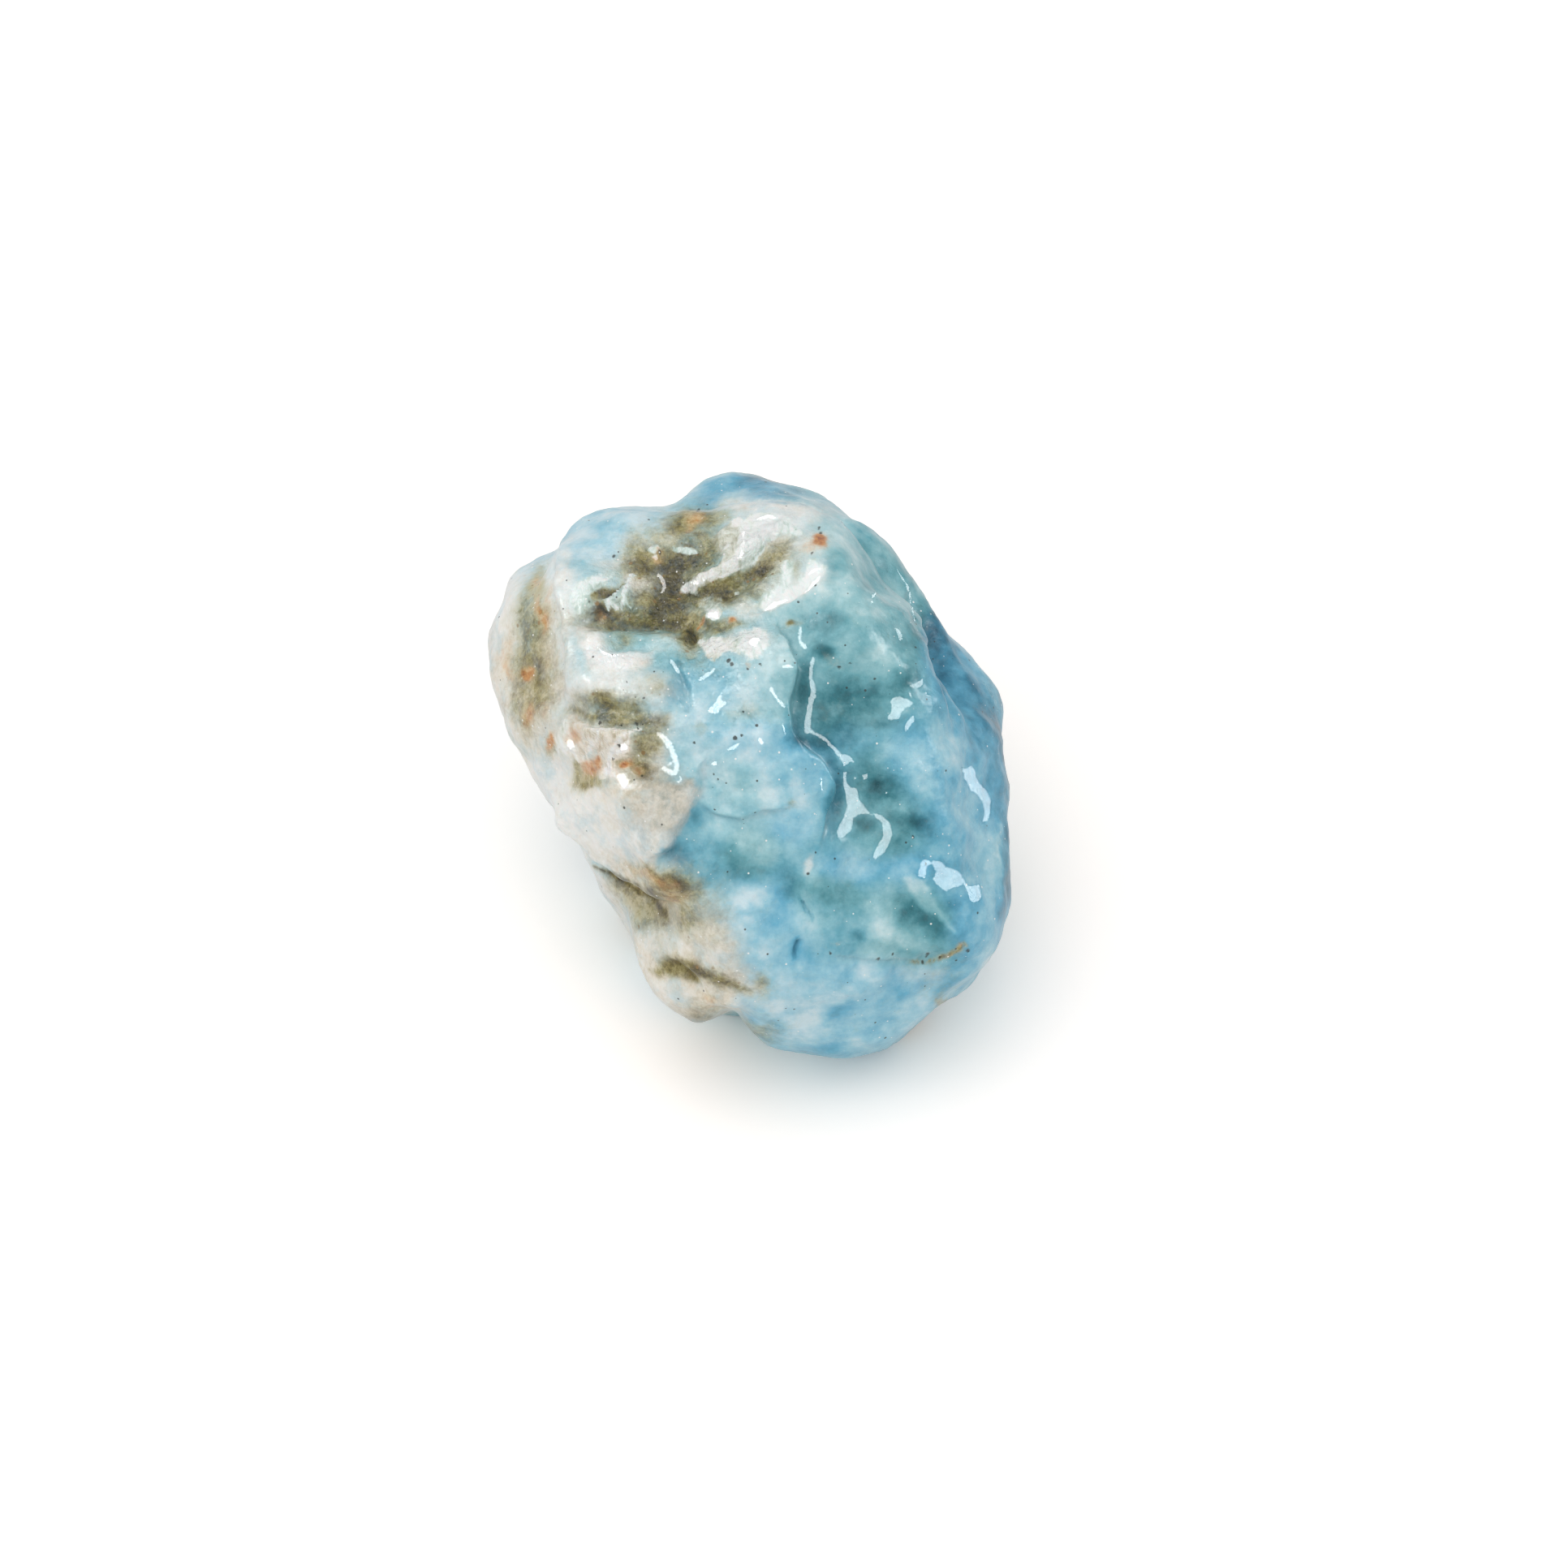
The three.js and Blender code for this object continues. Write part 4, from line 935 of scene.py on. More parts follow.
    depth: Sequence[Shape] = (
        *ovals(
            (9.2, 9.5, 2.6, 4.2, 0.2), (12, 5.5, 2, 2.6, 0.25), (9.5, -4, 3, 2.5, 0.15),
            (15.7, -6, 0.5, 2.6, 0.4), (15.2, 0.5, 1.1, 3, 0.55), (12.6, -6.6, 1.6, 1.2, 0.25),
            (6.4, -3.9, 1.4, 1.2, 0.25), (6.2, 11.2, 1.2, 1.2, 0.25), (3.4, 8.2, 1.2, 1, 0.25),
            # Partly painted shade: the ovals from (3.1, 5.2) down to (4.8, -3.2) deepen the hollow at the
            # crack's foot.
            (4.3, 7.1, 0.8, 0.4, 0.85), (3.1, 5.2, 0.5, 1.6, 0.9), (2.5, 3.6, 0.6, 1.6, 0.5),
            (4.6, 4.6, 0.9, 0.8, 0.7), (5.6, 4.4, 0.7, 0.6, 0.6), (7.7, 4.6, 0.8, 0.6, 0.7),
            (4.4, 2.9, 0.9, 0.9, 0.6), (5.8, 3.9, 3, 1.5, 0.3), (3.6, 1.5, 1.5, 0.5, 1, -15),
            (4.8, 0.4, 0.35, 0.5, 0.9), (6, 1.5, 0.7, 0.6, 0.3), (5.1, -1.5, 0.35, 1.8, 0.6),
            (4.8, -3.2, 0.4, 1.3, 0.65), (7.7, -1.4, 0.9, 0.7, 0.7), (8.5, -0.8, 0.6, 0.6, 0.3),
            (6.9, -3.6, 0.6, 0.45, 0.7), (9.6, -3.5, 1.1, 0.6, 0.65, -15),
            (10.3, -9.2, 1.5, 0.9, 0.75, -25), (9.2, -8.9, 0.6, 0.8, 0.4), (12.5, -8.5, 0.7, 0.9, 0.4),
            (6.6, -10.5, 0.5, 0.35, 0.55), (5.2, -9.2, 0.8, 0.4, 0.3), (4.7, -7.8, 1, 0.7, 0.4),
            (6, 0, 3.4, 3, 0.2), (4.8, 9.1, 1.3, 0.8, 0.6), (3.4, 8.8, 0.5, 0.5, 0.3),
            (6.5, 13.1, 0.35, 0.8, 0.35, 15), (8.1, 12.4, 0.3, 0.4, 0.35), (7.3, 11.3, 0.7, 0.5, 0.25),
            (8.8, 7.6, 0.8, 0.6, 0.3), (9.2, 5.5, 1, 0.7, 0.35), (11.5, 8, 1, 2, 0.6, 25),
            (11.9, 5.6, 0.5, 1, 0.75), (13.2, 4, 1.6, 2.4, 0.4, 15), (14.6, 2, 1.2, 1.6, 0.6),
            (14.6, -3.6, 0.8, 1.6, 0.3), (12.2, -1, 0.8, 1.4, 0.2), (1.2, 17.3, 2.6, 0.8, 0.75, -8),
            (-4.4, 5.5, 0.3, 0.9, 0.6, 20), (-5.2, 4.9, 0.5, 0.4, 0.35), (-5.8, 5, 1.2, 1.3, 0.7),
            (-3.8, -3.3, 0.8, 0.8, 0.5, 20), (-4.6, -5.5, 0.8, 0.8, 0.6), (-2, -5, 0.8, 0.5, 0.45),
            (-0.8, -6.1, 0.6, 0.8, 0.5), (1.5, -7.3, 1.3, 0.9, 0.25), (-2, -5.9, 3, 1.6, 0.3, -10),
            (2.6, -11.3, 0.35, 0.7, 0.45, -15), (-9.4, 14.9, 0.6, 0.25, 0.3, 10),
            (-11.4, 12.65, 0.4, 0.2, 0.25)),
        Streak(0.12, 0.8, (0.04, 0.1, 0.1), ((1.36, 8.8), (2, 8), (2.6, 7))),
        Streak(0.1, 1, (0.05, 0.12, 0.08), ((2.75, -10.6), (2.65, -11.1), (2.4, -11.8))),
        Streak(0.1, 0.9, (0.04, 0.09, 0.05), ((2.95, -8.1), (3.15, -8.8), (3.6, -9.5))),
        Streak(0.3, 0.35, (0.1, 0.4, 0.3), ((7.3, -14.2), (6, -14.9), (4.6, -15.7))),
        Streak(0.4, 0.9, (0.1, 0.35, 0.4, 0.3), ((15.6, -3.9), (15.75, -5.2), (15.7, -7), (15.3, -9))),
    )
    pale: Sequence[Shape] = (
        *ovals(
            (-8, 10, 6, 6, 0.6), (-6, 2, 4, 4.5, 0.4), (2, 12, 3.4, 3.6, 0.6), (-3, 2, 2, 3, 0.25),
            (1.5, -3.6, 3.4, 2.4, 0.2), (3, -14, 4, 3, 0.15), (14.6, -6, 0.7, 3, 0.4), (0.1, 4.8, 1.6, 1.4),
            (1, 2.6, 1.4, 1.2, 0.4), (1.4, -0.8, 1.4, 1.2, 0.3), (-0.2, -9.8, 1.2, 0.9, 0.4),
            (-2.6, 4.6, 1.5, 1, 0.45), (-1, 0.8, 2, 1.4, 0.5), (0, -1.6, 2.6, 1.2, 0.5),
            (3.2, -1.4, 1.1, 2, 0.6), (1.4, 6.6, 1.3, 1.3, 0.7), (0.5, 1.7, 1, 0.5, 0.6),
            (-10, 13.5, 2.4, 1.2, 0.9), (-7.5, 15.3, 3, 0.8, 0.5), (-14.2, 12.2, 0.9, 1, 0.8),
            (-11.6, 9, 0.7, 4.5, 0.9, 3), (7.8, 6.9, 1.1, 1, 0.8, 20), (5.8, 11.8, 0.8, 1.6, 0.65),
            (7.5, 9.6, 1.6, 1, 0.45), (3.3, 10.1, 1.2, 0.6, 0.4, 10), (5, 14.4, 0.7, 1.1, 0.6),
            (11.4, 3.2, 0.8, 1.6, 0.2, 20), (8.8, 0.8, 1.4, 1, 0.25), (0, -5, 1.4, 1.4, 0.4),
            (-1, -8, 2, 0.8, 0.6), (1.2, -11.6, 1.2, 1.4, 0.6), (0.8, -8.6, 0.8, 0.5, 0.4),
            (3.4, -9.6, 2, 1.6, 0.35), (6.3, 1.6, 1.5, 1, 0.25), (12.2, 1.6, 1.2, 1.4, 0.35),
            (8.4, -8.9, 0.6, 0.8, 0.3), (3.2, -10.2, 1.4, 1, 0.3), (5.8, -16, 2.4, 0.9, 0.4),
            (2, -15.2, 1.6, 0.9, 0.4), (-12.4, 12.4, 1.4, 0.9, 0.6), (-9.2, 14, 1.6, 1.2, 0.5),
            (6.7, -4.8, 0.7, 0.4, 0.3), (9.8, -15.2, 1.3, 1.2, 0.35), (8.6, -6, 1.4, 0.8, 0.2),
            (2.5, -16.2, 2, 0.8, 0.25, -20), (14.4, -12.2, 1.2, 0.8, 0.4, 40), (-5.9, 5.2, 1, 1.2, 0.45),
            (-3.8, 3.3, 1, 0.8, 0.3), (-5.4, 0.5, 0.7, 0.9, 0.3)),
        Area(0.3, 0.55, (
            (10.9, 2.9), (11.4, 3), (12, 2), (12.6, 1), (13, 0.3), (12.6, -0.4), (11.9, -0.3), (11.4, 0.6),
            (11, 1.6))),
        Streak(0.12, 0.9, (0.04, 0.1, 0.08, 0.03), ((15, -3.5), (15.25, -5), (15.2, -6.6), (15.1, -8))),
        Streak(0.4, 0.45, (0.2, 0.5, 0.5, 0.2), (
            (9, -7.3), (8, -7.6), (7.4, -8.6), (7.6, -9.6), (8.6, -10.6), (10, -10.9))),
        # Painted highlight: a pale blade where the side panel's glint lies beside the pool.
        Area(0.15, 0.9, (
            (9.3, -7), (9.9, -6.8), (10.5, -7.1), (11, -8.2), (11.8, -9.3), (12.5, -10.3), (11.7, -9.7),
            (10.7, -9), (9.9, -8.1))),
    )
    green: Sequence[Shape] = ovals(
        (6.5, 9, 4.4, 4.4, 0.9), (5.6, 3.5, 3.6, 3, 0.6), (4.5, -8.5, 2.5, 2.4, 0.8),
        (10.3, -9.3, 2.3, 1.4, 0.7, -20), (0.5, -0.9, 2.6, 1.6, 0.45), (9.3, 8.5, 0.9, 3),
        (0, 3.2, 1.8, 0.7, 0.6), (-6, 10.5, 4.5, 4, 0.5), (8, -2.6, 2.2, 3.2, 0.7),
        (-0.3, -5.4, 1.6, 1.8, 0.5), (9.5, -11.5, 3, 1, 0.6))
    sky: Sequence[Shape] = ovals(
        (5.5, -14.6, 5.5, 2.2, 1, 5), (-9, 14.3, 3.6, 1.6, 0.9), (13.4, -1, 2, 4, 0.8),
        (-2.4, 3.8, 2.2, 2.4, 0.3), (2.4, -3.6, 1.2, 0.9), (0.6, -8.8, 1.8, 1.6, 0.9),
        (5.8, -6.3, 2, 0.9, 0.9), (9.5, -6.3, 1.5, 0.8, 0.7), (-1.5, 17.2, 2.4, 1),
        (12, 7, 1.8, 3, 0.9, 20), (-13.8, 12, 1.6, 1.2, 0.8), (1.5, -11.4, 1.6, 1.8, 0.8),
        (9.6, 0.3, 1.6, 2.6, 0.6), (-2.6, 10, 0.9, 0.7, 0.9), (14, -10, 2, 2.4, 0.8),
        (2.2, -0.4, 2.6, 2, 0.7), (0.2, 2.2, 2, 1.6, 0.6), (6.2, 1.8, 1.8, 1.2, 0.5),
        (4, -9.4, 2.6, 1.6, 0.6))
    soot: Sequence[Shape] = dots(
        (-1.5, 6.5, 0.16), (-1.3, 6.2, 0.1), (-1.1, 1.75, 0.13), (-0.7, 1.95, 0.08), (0.25, 2.55, 0.1),
        (-3.65, 1.45, 0.08), (-0.6, 3.4, 0.08), (7.7, -11.9, 0.13), (13.2, -11.35, 0.13),
        (10.4, -12.1, 0.1), (4.7, -11.5, 0.1), (9.9, -4.4, 0.1), (5.3, 6.1, 0.12), (5.95, 6.4, 0.08),
        (-5.8, 13.2, 0.12), (4.1, 14.5, 0.1), (3.97, 14.8, 0.09), (3.6, 13.2, 0.1), (-8.3, 1.25, 0.1),
        (-9.65, 2.7, 0.13), (-7.3, 2.65, 0.11), (-8.35, 1.3, 0.09), (-8.65, 0.5, 0.08), (-7.25, 2.35, 0.08),
        (-9.2, 1.9, 0.06), (8.6, -11.6, 0.09), (10.7, -11.6, 0.11), (11.4, -11.8, 0.09), (-0.35, 6, 0.08),
        (0.45, 6.35, 0.07), (7.55, 5.45, 0.08), (-7.8, 5.2, 0.08), (-8.7, 13, 0.12), (-2.2, -0.8, 0.07),
        (-2.5, -0.45, 0.06), (-2.4, -2.7, 0.06), (-1.5, 15.3, 0.12), (-3.5, 15.85, 0.1), (3.4, -6.65, 0.09),
        (3.85, -5.4, 0.08), (10.6, -6.1, 0.08), (-10.1, 10.15, 0.1), (-9.95, 10.6, 0.08))
    broken: Sequence[Shape] = ovals(
        (-5, 11.2, 5, 3, 0.8), (0.6, 13.3, 2.4, 1.8, 0.8, 30), (-1.6, 7.6, 2.6, 1.2, 0.9, 10),
        (-8.6, 1.2, 3.2, 2.2, 0.9), (-8.5, 6.8, 2.6, 0.9, 0.5), (-1.2, 3.6, 2.8, 3, 0.3))

    def shares(self, places: Array) -> dict[str, Array]:
        """Work out every zone over the surface.

        On the front the zones are the named shapes, with strayed edges. Behind, where no shape is named,
        the minerals drift with slow noise. Crisp zones stray less, and they and rust reach further round.

        Args:
            places: Places on the surface, one row each.

        Returns:
            For each zone, a share from 0 to 1 for each place.
        """
        spots = spots_of(places)
        little = spots + strayed(places, 0.5, 0.12, 43)
        more = little + strayed(places, 1.7, 0.3, 41)
        seen = smoothstep(-6.0, -2.0, places[:, 2])
        close = smoothstep(-3.0, -1.0, places[:, 2])
        crisp = ("crystal", "bright", "soot")
        shares = {}
        for zone in fields(self):
            name = zone.name
            there = union(getattr(self, name), little if name in crisp else more)
            near = close if name in crisp or name == "rust" else seen
            behind = BEHIND[name].share(places) if name in BEHIND else 0.0
            shares[name] = near * there + (1.0 - near) * behind
        return shares


# ------------------------------------------------------------------------------------------------ wet films


class Glow(Enum):
    """Which studio panel a film of water throws back at the eye."""

    SIDE = "side_film"
    TOP = "top_film"


@dataclass
class WetFilms:
    """Where water lies in small level films along ledges and in dips, one list of shapes a panel."""

    side: Sequence[Shape] = (
        *dots((6.3, -0.75, 0.09)),
        Streak(0.2, 1, (0.04, 0.14, 0.1, 0.13, 0.18, 0.18, 0.17, 0.2, 0.2), (
            (3.74, 6.8), (3.62, 6.3), (3.52, 5.8), (3.6, 5.2), (3.76, 4.6), (3.55, 4), (3.42, 3.3),
            (3.36, 2.75), (3.34, 2.2))),
        Streak(0.2, 1, (0.2, 0.15, 0.09, 0.11, 0.12, 0.15, 0.24), (
            (3.34, 2.4), (3.5, 2.15), (3.95, 1.98), (4.5, 1.6), (5, 1), (5.3, 0.7), (5.65, 0.42))),
        Area(0.2, 1, (
            (5.3, 0.75), (5.6, 0.75), (5.9, 0.7), (6.05, 0.5), (6.35, 0.25), (5.9, 0.25), (5.6, -0.05),
            (5.5, 0.2))),
        Area(0.2, 1, (
            (5.55, -0.35), (5.75, -0.35), (5.78, -1), (6.05, -1.38), (6.35, -1.3), (6.45, -1.8),
            (6.75, -2.4), (7.15, -2.85), (7.9, -3), (8.35, -3.4), (8.58, -4), (8.45, -4.7), (8.2, -5.2),
            (7.55, -5.8), (7.38, -5.6), (7.5, -5.1), (8, -4.3), (8, -3.9), (7.85, -3.4), (7.4, -3.03),
            (6.9, -2.93), (6.4, -2.98), (6.12, -3.25), (6.02, -3.9), (5.7, -4.25), (5.1, -4.4), (5.2, -3.8),
            (5.6, -3.1), (5.75, -2.4), (5.7, -1.7), (5.55, -1))),
        Area(0.2, 1, (
            (8.4, 4), (8.6, 4.25), (9, 4.32), (9.45, 4.15), (9.9, 3.8), (9.4, 3.6), (9.1, 3.3), (9, 2.95),
            (8.45, 2.82), (8.25, 3), (8.5, 3.4), (8.5, 3.8))),
        Area(0.2, 1, ((9.33, 2.05), (9.35, 2.6), (9.65, 3), (9.95, 3.3), (9.88, 2.8), (9.6, 2.4))),
        Area(0.2, 1, ((9.5, 4.95), (10, 5.15), (10.4, 5.42), (10.5, 5.1), (10.2, 4.82))),
        Streak(0.15, 0.95, (0.03, 0.07, 0.05), ((9.5, 4.6), (9.62, 4.4), (9.68, 4.1))),
        Area(0.2, 1, (
            (12.8, -0.1), (13.2, -0.1), (13.5, 0.1), (13.75, -0.3), (13.7, -0.7), (14, -1.1), (14.4, -1.6),
            (14.6, -2.1), (14.6, -2.8), (14.35, -3.4), (14.05, -3.6), (14.25, -2.9), (14.1, -2.2),
            (13.8, -1.8), (13.3, -1.4), (13, -0.8))),
        Area(0.2, 1, (
            (10.3, -5.9), (10.6, -5.75), (11, -5.82), (11.5, -5.85), (11.9, -6.2), (12.5, -6.4),
            (12.8, -6.6), (13.05, -7.2), (12.4, -7.5), (11.9, -7.75), (11.4, -7.4), (11.05, -7),
            (11.3, -6.5), (11, -6.02), (10.75, -6.2), (10.6, -6.95), (10.12, -6.8), (10.3, -6.3))),
        Area(0.2, 1, (
            (12.95, -7.3), (13.5, -7.4), (14.05, -7.3), (14, -8.25), (13.6, -8.4), (13.3, -8.3),
            (13.2, -7.8))),
        Area(0.12, 1, ((6.75, -0.5), (7.1, -0.4), (7, -0.75), (6.8, -0.85))),
        Area(0.12, 1, ((8.1, -1.6), (8.35, -1.4), (8.3, -1.85), (8.2, -1.75))),
        Streak(0.1, 0.9, (0.02, 0.05, 0.02), ((7, -4.85), (7.2, -4.4), (7.5, -4.1), (7.62, -3.7))),
        Streak(0.1, 0.8, (0.02, 0.05, 0.02, 0.05, 0.02), (
            (10.4, 4.8), (10.9, 4.3), (11.4, 3.8), (11.9, 3.2))),
        Streak(0.1, 0.95, (0.02, 0.08, 0.05), ((7.65, 10.75), (7.42, 10.75), (7.32, 10.1))),
        Streak(0.12, 0.95, (0.03, 0.14, 0.1, 0.03), ((8.75, 8.5), (8.95, 8.25), (9.05, 8), (9.1, 7.7))),
        Streak(0.1, 0.8, (0.02, 0.05, 0.02), ((8.45, 9.6), (8.55, 9.1), (8.65, 8.7))),
        Streak(0.1, 0.75, (0.02, 0.05, 0.02), ((4.42, 6.45), (4.5, 6.2), (4.6, 5.95))),
        Streak(0.12, 0.85, (0.02, 0.07, 0.1, 0.08, 0.04), (
            (8.7, 12.4), (9.3, 11.45), (9.6, 10.7), (9.8, 9.8), (9.98, 8.9))),
        Streak(0.12, 0.75, (0.03, 0.06, 0.03), ((10.15, 8.3), (10.42, 7.2), (10.65, 6.1))),
        Streak(0.12, 0.75, (0.03, 0.07, 0.03), ((5.4, 15.15), (6.3, 14.7), (7.3, 13.9))),
        Streak(0.12, 0.75, (0.03, 0.06, 0.03), ((14.2, 5.2), (14.7, 4.4), (15, 3.5))),
    )
    top: Sequence[Shape] = (
        Area(0.15, 1, (
            (-2.85, 3.4), (-2.5, 3.8), (-2.2, 4.2), (-1.9, 4.6), (-2, 4.1), (-1.6, 3.95), (-2, 3.6),
            (-2.2, 3.2), (-2.6, 3.25))),
        Streak(0.12, 1, (0.06, 0.13, 0.1, 0.05), ((-3.35, 5.25), (-2.9, 5.65), (-2.35, 6))),
        Area(0.12, 1, ((0.25, 1.6), (0.4, 1.75), (0.7, 1.45), (0.5, 1.3))),
        Streak(0.12, 1, (0.05, 0.13, 0.08), ((-1.55, 1), (-1.2, 1.15), (-0.9, 1.35))),
        Area(0.15, 0.9, ((-2.7, 0.1), (-2.4, 0.35), (-2.2, 0.2), (-2.4, 0))),
        Streak(0.12, 0.9, (0.07, 0.13, 0.06), ((1.8, 6.1), (2.1, 6.2), (2.4, 6.1))),
        Streak(0.1, 0.95, (0.08, 0.13, 0.07, 0.13, 0.06), ((1.1, 4.8), (1.3, 4.35), (1.6, 4), (1.9, 3.7))),
        Streak(0.1, 0.8, (0.05, 0.09, 0.05), ((1.8, 2.7), (1.88, 2.3), (1.95, 1.95))),
        Streak(0.1, 0.85, (0.08, 0.05, 0.1, 0.05, 0.09), ((4.2, -0.75), (4.2, -1.1), (4.3, -1.5))),
        Streak(0.12, 0.95, (0.06, 0.11, 0.09, 0.15, 0.06), (
            (2.85, 8.7), (2.9, 8.2), (2.8, 7.8), (3.25, 7.3))),
        Streak(0.26, 1, (0.13, 0.19, 0.19, 0.18, 0.18, 0.18, 0.13), (
            (-5.85, 2), (-5.35, 1.6), (-5.05, 1.05), (-4.82, 0.4), (-4.72, -0.1), (-4.9, -0.52),
            (-5.5, -0.15))),
        Streak(0.1, 0.85, (0.06, 0.08, 0.05), ((-4.95, 0.35), (-5.2, 0.1), (-5.4, -0.05))),
        Streak(0.1, 0.9, (0.05, 0.09, 0.05), ((-4.55, -0.65), (-4.45, -0.9), (-4.7, -0.98))),
        Streak(0.12, 1, (0.08, 0.12, 0.12, 0.1, 0.08), (
            (-5.97, 11.9), (-5.72, 11.65), (-5.55, 11.3), (-5.58, 10.98), (-5.77, 10.7))),
        Streak(0.12, 0.95, (0.08, 0.13, 0.13, 0.06), ((-5.15, 6.5), (-4.88, 6.25), (-4.75, 5.9))),
        Area(0.15, 0.9, ((-2.95, 9.15), (-2.75, 9.4), (-2.3, 9.5), (-2.1, 9.2))),
        Area(0.2, 0.8, ((-0.5, 7.7), (0.1, 8.1), (0.5, 7.9), (0.1, 7.3))),
        Streak(0.12, 0.8, (0.05, 0.1, 0.05), ((3.3, 11.9), (3.8, 12.2), (4.3, 12.3))),
        Streak(0.2, 0.9, (0.03, 0.13, 0.05, 0.13, 0.03), (
            (-1.1, 12.3), (-0.7, 13), (-0.6, 13.9), (-0.8, 14.7))),
        Streak(0.2, 0.9, (0.05, 0.16, 0.04), ((-4.1, 11), (-3, 11.35), (-2.1, 11.8))),
        Streak(0.2, 0.9, (0.05, 0.16, 0.05), ((0.2, 13.4), (0.9, 14.1), (1.7, 14.5))),
        Streak(0.2, 0.9, (0.05, 0.17, 0.05), ((0.1, 15.2), (0.7, 15.45), (1.5, 15.3))),
        Streak(0.2, 0.9, (0.05, 0.16, 0.05), ((0.6, 9.7), (1.4, 10.2), (2.2, 10.5))),
        Streak(0.2, 0.9, (0.05, 0.17, 0.05), ((3.2, 10.9), (3.9, 11.5), (4.2, 12))),
        Streak(0.15, 0.7, (0.06, 0.15, 0.06), ((-9.9, 7.7), (-9.2, 6.8), (-7.4, 6.7))),
        Area(0.12, 0.9, ((-8.3, 0.9), (-8.1, 1.35), (-7.7, 1.5), (-7.7, 1))),
        Area(0.12, 0.9, ((-8.5, -0.5), (-8, -0.4), (-7.6, -0.9), (-8.1, -1.4))),
        Area(0.12, 0.9, ((-11.6, 1.6), (-11.2, 1.7), (-11, 1.2), (-11.4, 1))),
    )

    def levels(self, places: Array) -> dict[str, Array]:
        """How far inside a film each place is, 0.5 on the film's edge, for each panel.

        Args:
            places: Places on the surface, one row each.

        Returns:
            Levels from 0 to 1 by the panels' names.
        """
        spots = spots_of(places) + strayed(places, 0.3, 0.05, 45)
        front = places[:, 2] > 0.0
        panels = {Glow.SIDE: self.side, Glow.TOP: self.top}
        return {glow.value: front * highest(shapes, spots) for glow, shapes in panels.items()}


# -------------------------------------------------------------------------------------------- node building


Socket = bpy.types.NodeSocket
Sockets = bpy.types.bpy_prop_collection
Inputs = dict[str | int, object]
Colour = tuple[float, float, float]
Mix = tuple[tuple[str, float, float], ...]  # rows of a pattern's or zone's name, its middle and its weight


def screen(*rows: tuple[int, int, int]) -> tuple[Colour, ...]:
    """Linear colours from rows of screen values from 11 to 255: ((value / 255 + 0.055) / 1.055) ^ 2.4."""
    return tuple(tuple(((value / 255 + 0.055) / 1.055) ** 2.4 for value in row) for row in rows)


@dataclass
class NodeSheet:
    """Adds nodes to one tree, left to right, and links them."""

    tree: bpy.types.NodeTree
    column: int = 0
    place: Socket | None = None  # where patterns are read, in millimetres
    sources: dict[str, Socket] = field(default_factory=dict)  # patterns and zones made so far

    def add(self, kind: str, inputs: Inputs | None = None, **settings: object) -> bpy.types.Node:
        """Add a node of a kind, set its properties and feed its inputs.

        Args:
            kind: The node's type.
            inputs: What each input gets, by its name or number.
            **settings: Properties of the node and their values.

        Returns:
            The new node.
        """
        node = self.tree.nodes.new(kind)
        node.location = (180 * self.column, -60 * (self.column % 7))
        self.column += 1
        for name, value in settings.items():
            setattr(node, name, value)
        for name, value in (inputs or {}).items():
            self.feed(node.inputs[name], value)
        return node

    def feed(self, socket: Socket, value: object) -> None:
        """Link a socket to another, or set it to a plain value.

        Args:
            socket: The input's socket.
            value: An output's socket, a number, or a colour or direction of three numbers.
        """
        if isinstance(value, Socket):
            self.tree.links.new(value, socket)
        elif isinstance(value, tuple) and socket.type == "RGBA":
            socket.default_value = (*value, 1.0)
        else:
            socket.default_value = value

    def calc(self, operation: str, *values: object) -> Socket:
        """One arithmetic step on sockets or numbers."""
        return self.add("ShaderNodeMath", dict(enumerate(values)), operation=operation).outputs[0]

    def fade(self, value: object, low: object, high: object, start: float = 0.0, end: float = 1.0) -> Socket:
        """Smooth fade of a value from start at low to end at high."""
        inputs = dict(enumerate((value, low, high, start, end)))
        return self.add("ShaderNodeMapRange", inputs, interpolation_type="SMOOTHSTEP").outputs[0]

    def blend(self, share: object, under: object, over: object) -> Socket:
        """Mix of two colours: under where the share is 0, over where it is 1."""
        return self.add("ShaderNodeMix", {0: share, 6: under, 7: over}, data_type="RGBA").outputs[2]

    def swap(self, share: object, under: object, over: object) -> Socket:
        """Mix of two directions: under where the share is 0, over where it is 1."""
        return self.add("ShaderNodeMix", {0: share, 4: under, 5: over}, data_type="VECTOR").outputs[1]

    def scaled(self, place: Socket, scale: object) -> Socket:
        """A place times a number."""
        return self.add("ShaderNodeVectorMath", {0: place, "Scale": scale}, operation="SCALE").outputs[0]

    def ramp(self, value: object, steps: Sequence[Colour]) -> Socket:
        """Colour read off a row of evenly spaced steps.

        Args:
            value: Where to read, 0 at the first step and 1 at the last.
            steps: The colours.

        Returns:
            The colour's socket.
        """
        node = self.add("ShaderNodeValToRGB", {0: value})
        elements = node.color_ramp.elements
        for index in range(1, len(steps) - 1):
            elements.new(index / (len(steps) - 1))
        for element, step in zip(elements, steps):
            element.color = (*step, 1.0)
        return node.outputs[0]

    def total(self, *parts: tuple[object, float, float]) -> Socket:
        """Weighted sum.

        Args:
            *parts: Value, middle and weight of each part.

        Returns:
            The sum over the parts of (value - middle) times weight.
        """
        whole = None
        for value, middle, weight in parts:
            part = self.calc("MULTIPLY", self.calc("SUBTRACT", value, middle), weight)
            whole = part if whole is None else self.calc("ADD", whole, part)
        return whole

    def zone(self, name: str) -> Socket:
        """The stone's own number for a mineral zone or a film."""
        return self.add("ShaderNodeAttribute", attribute_name=name).outputs["Fac"]

    def bump(self, height: Socket) -> Socket:
        """Surface direction over small relief whose height is in millimetres."""
        inputs = {"Strength": 1.0, "Distance": MM, "Height": height}
        return self.add("ShaderNodeBump", inputs).outputs["Normal"]


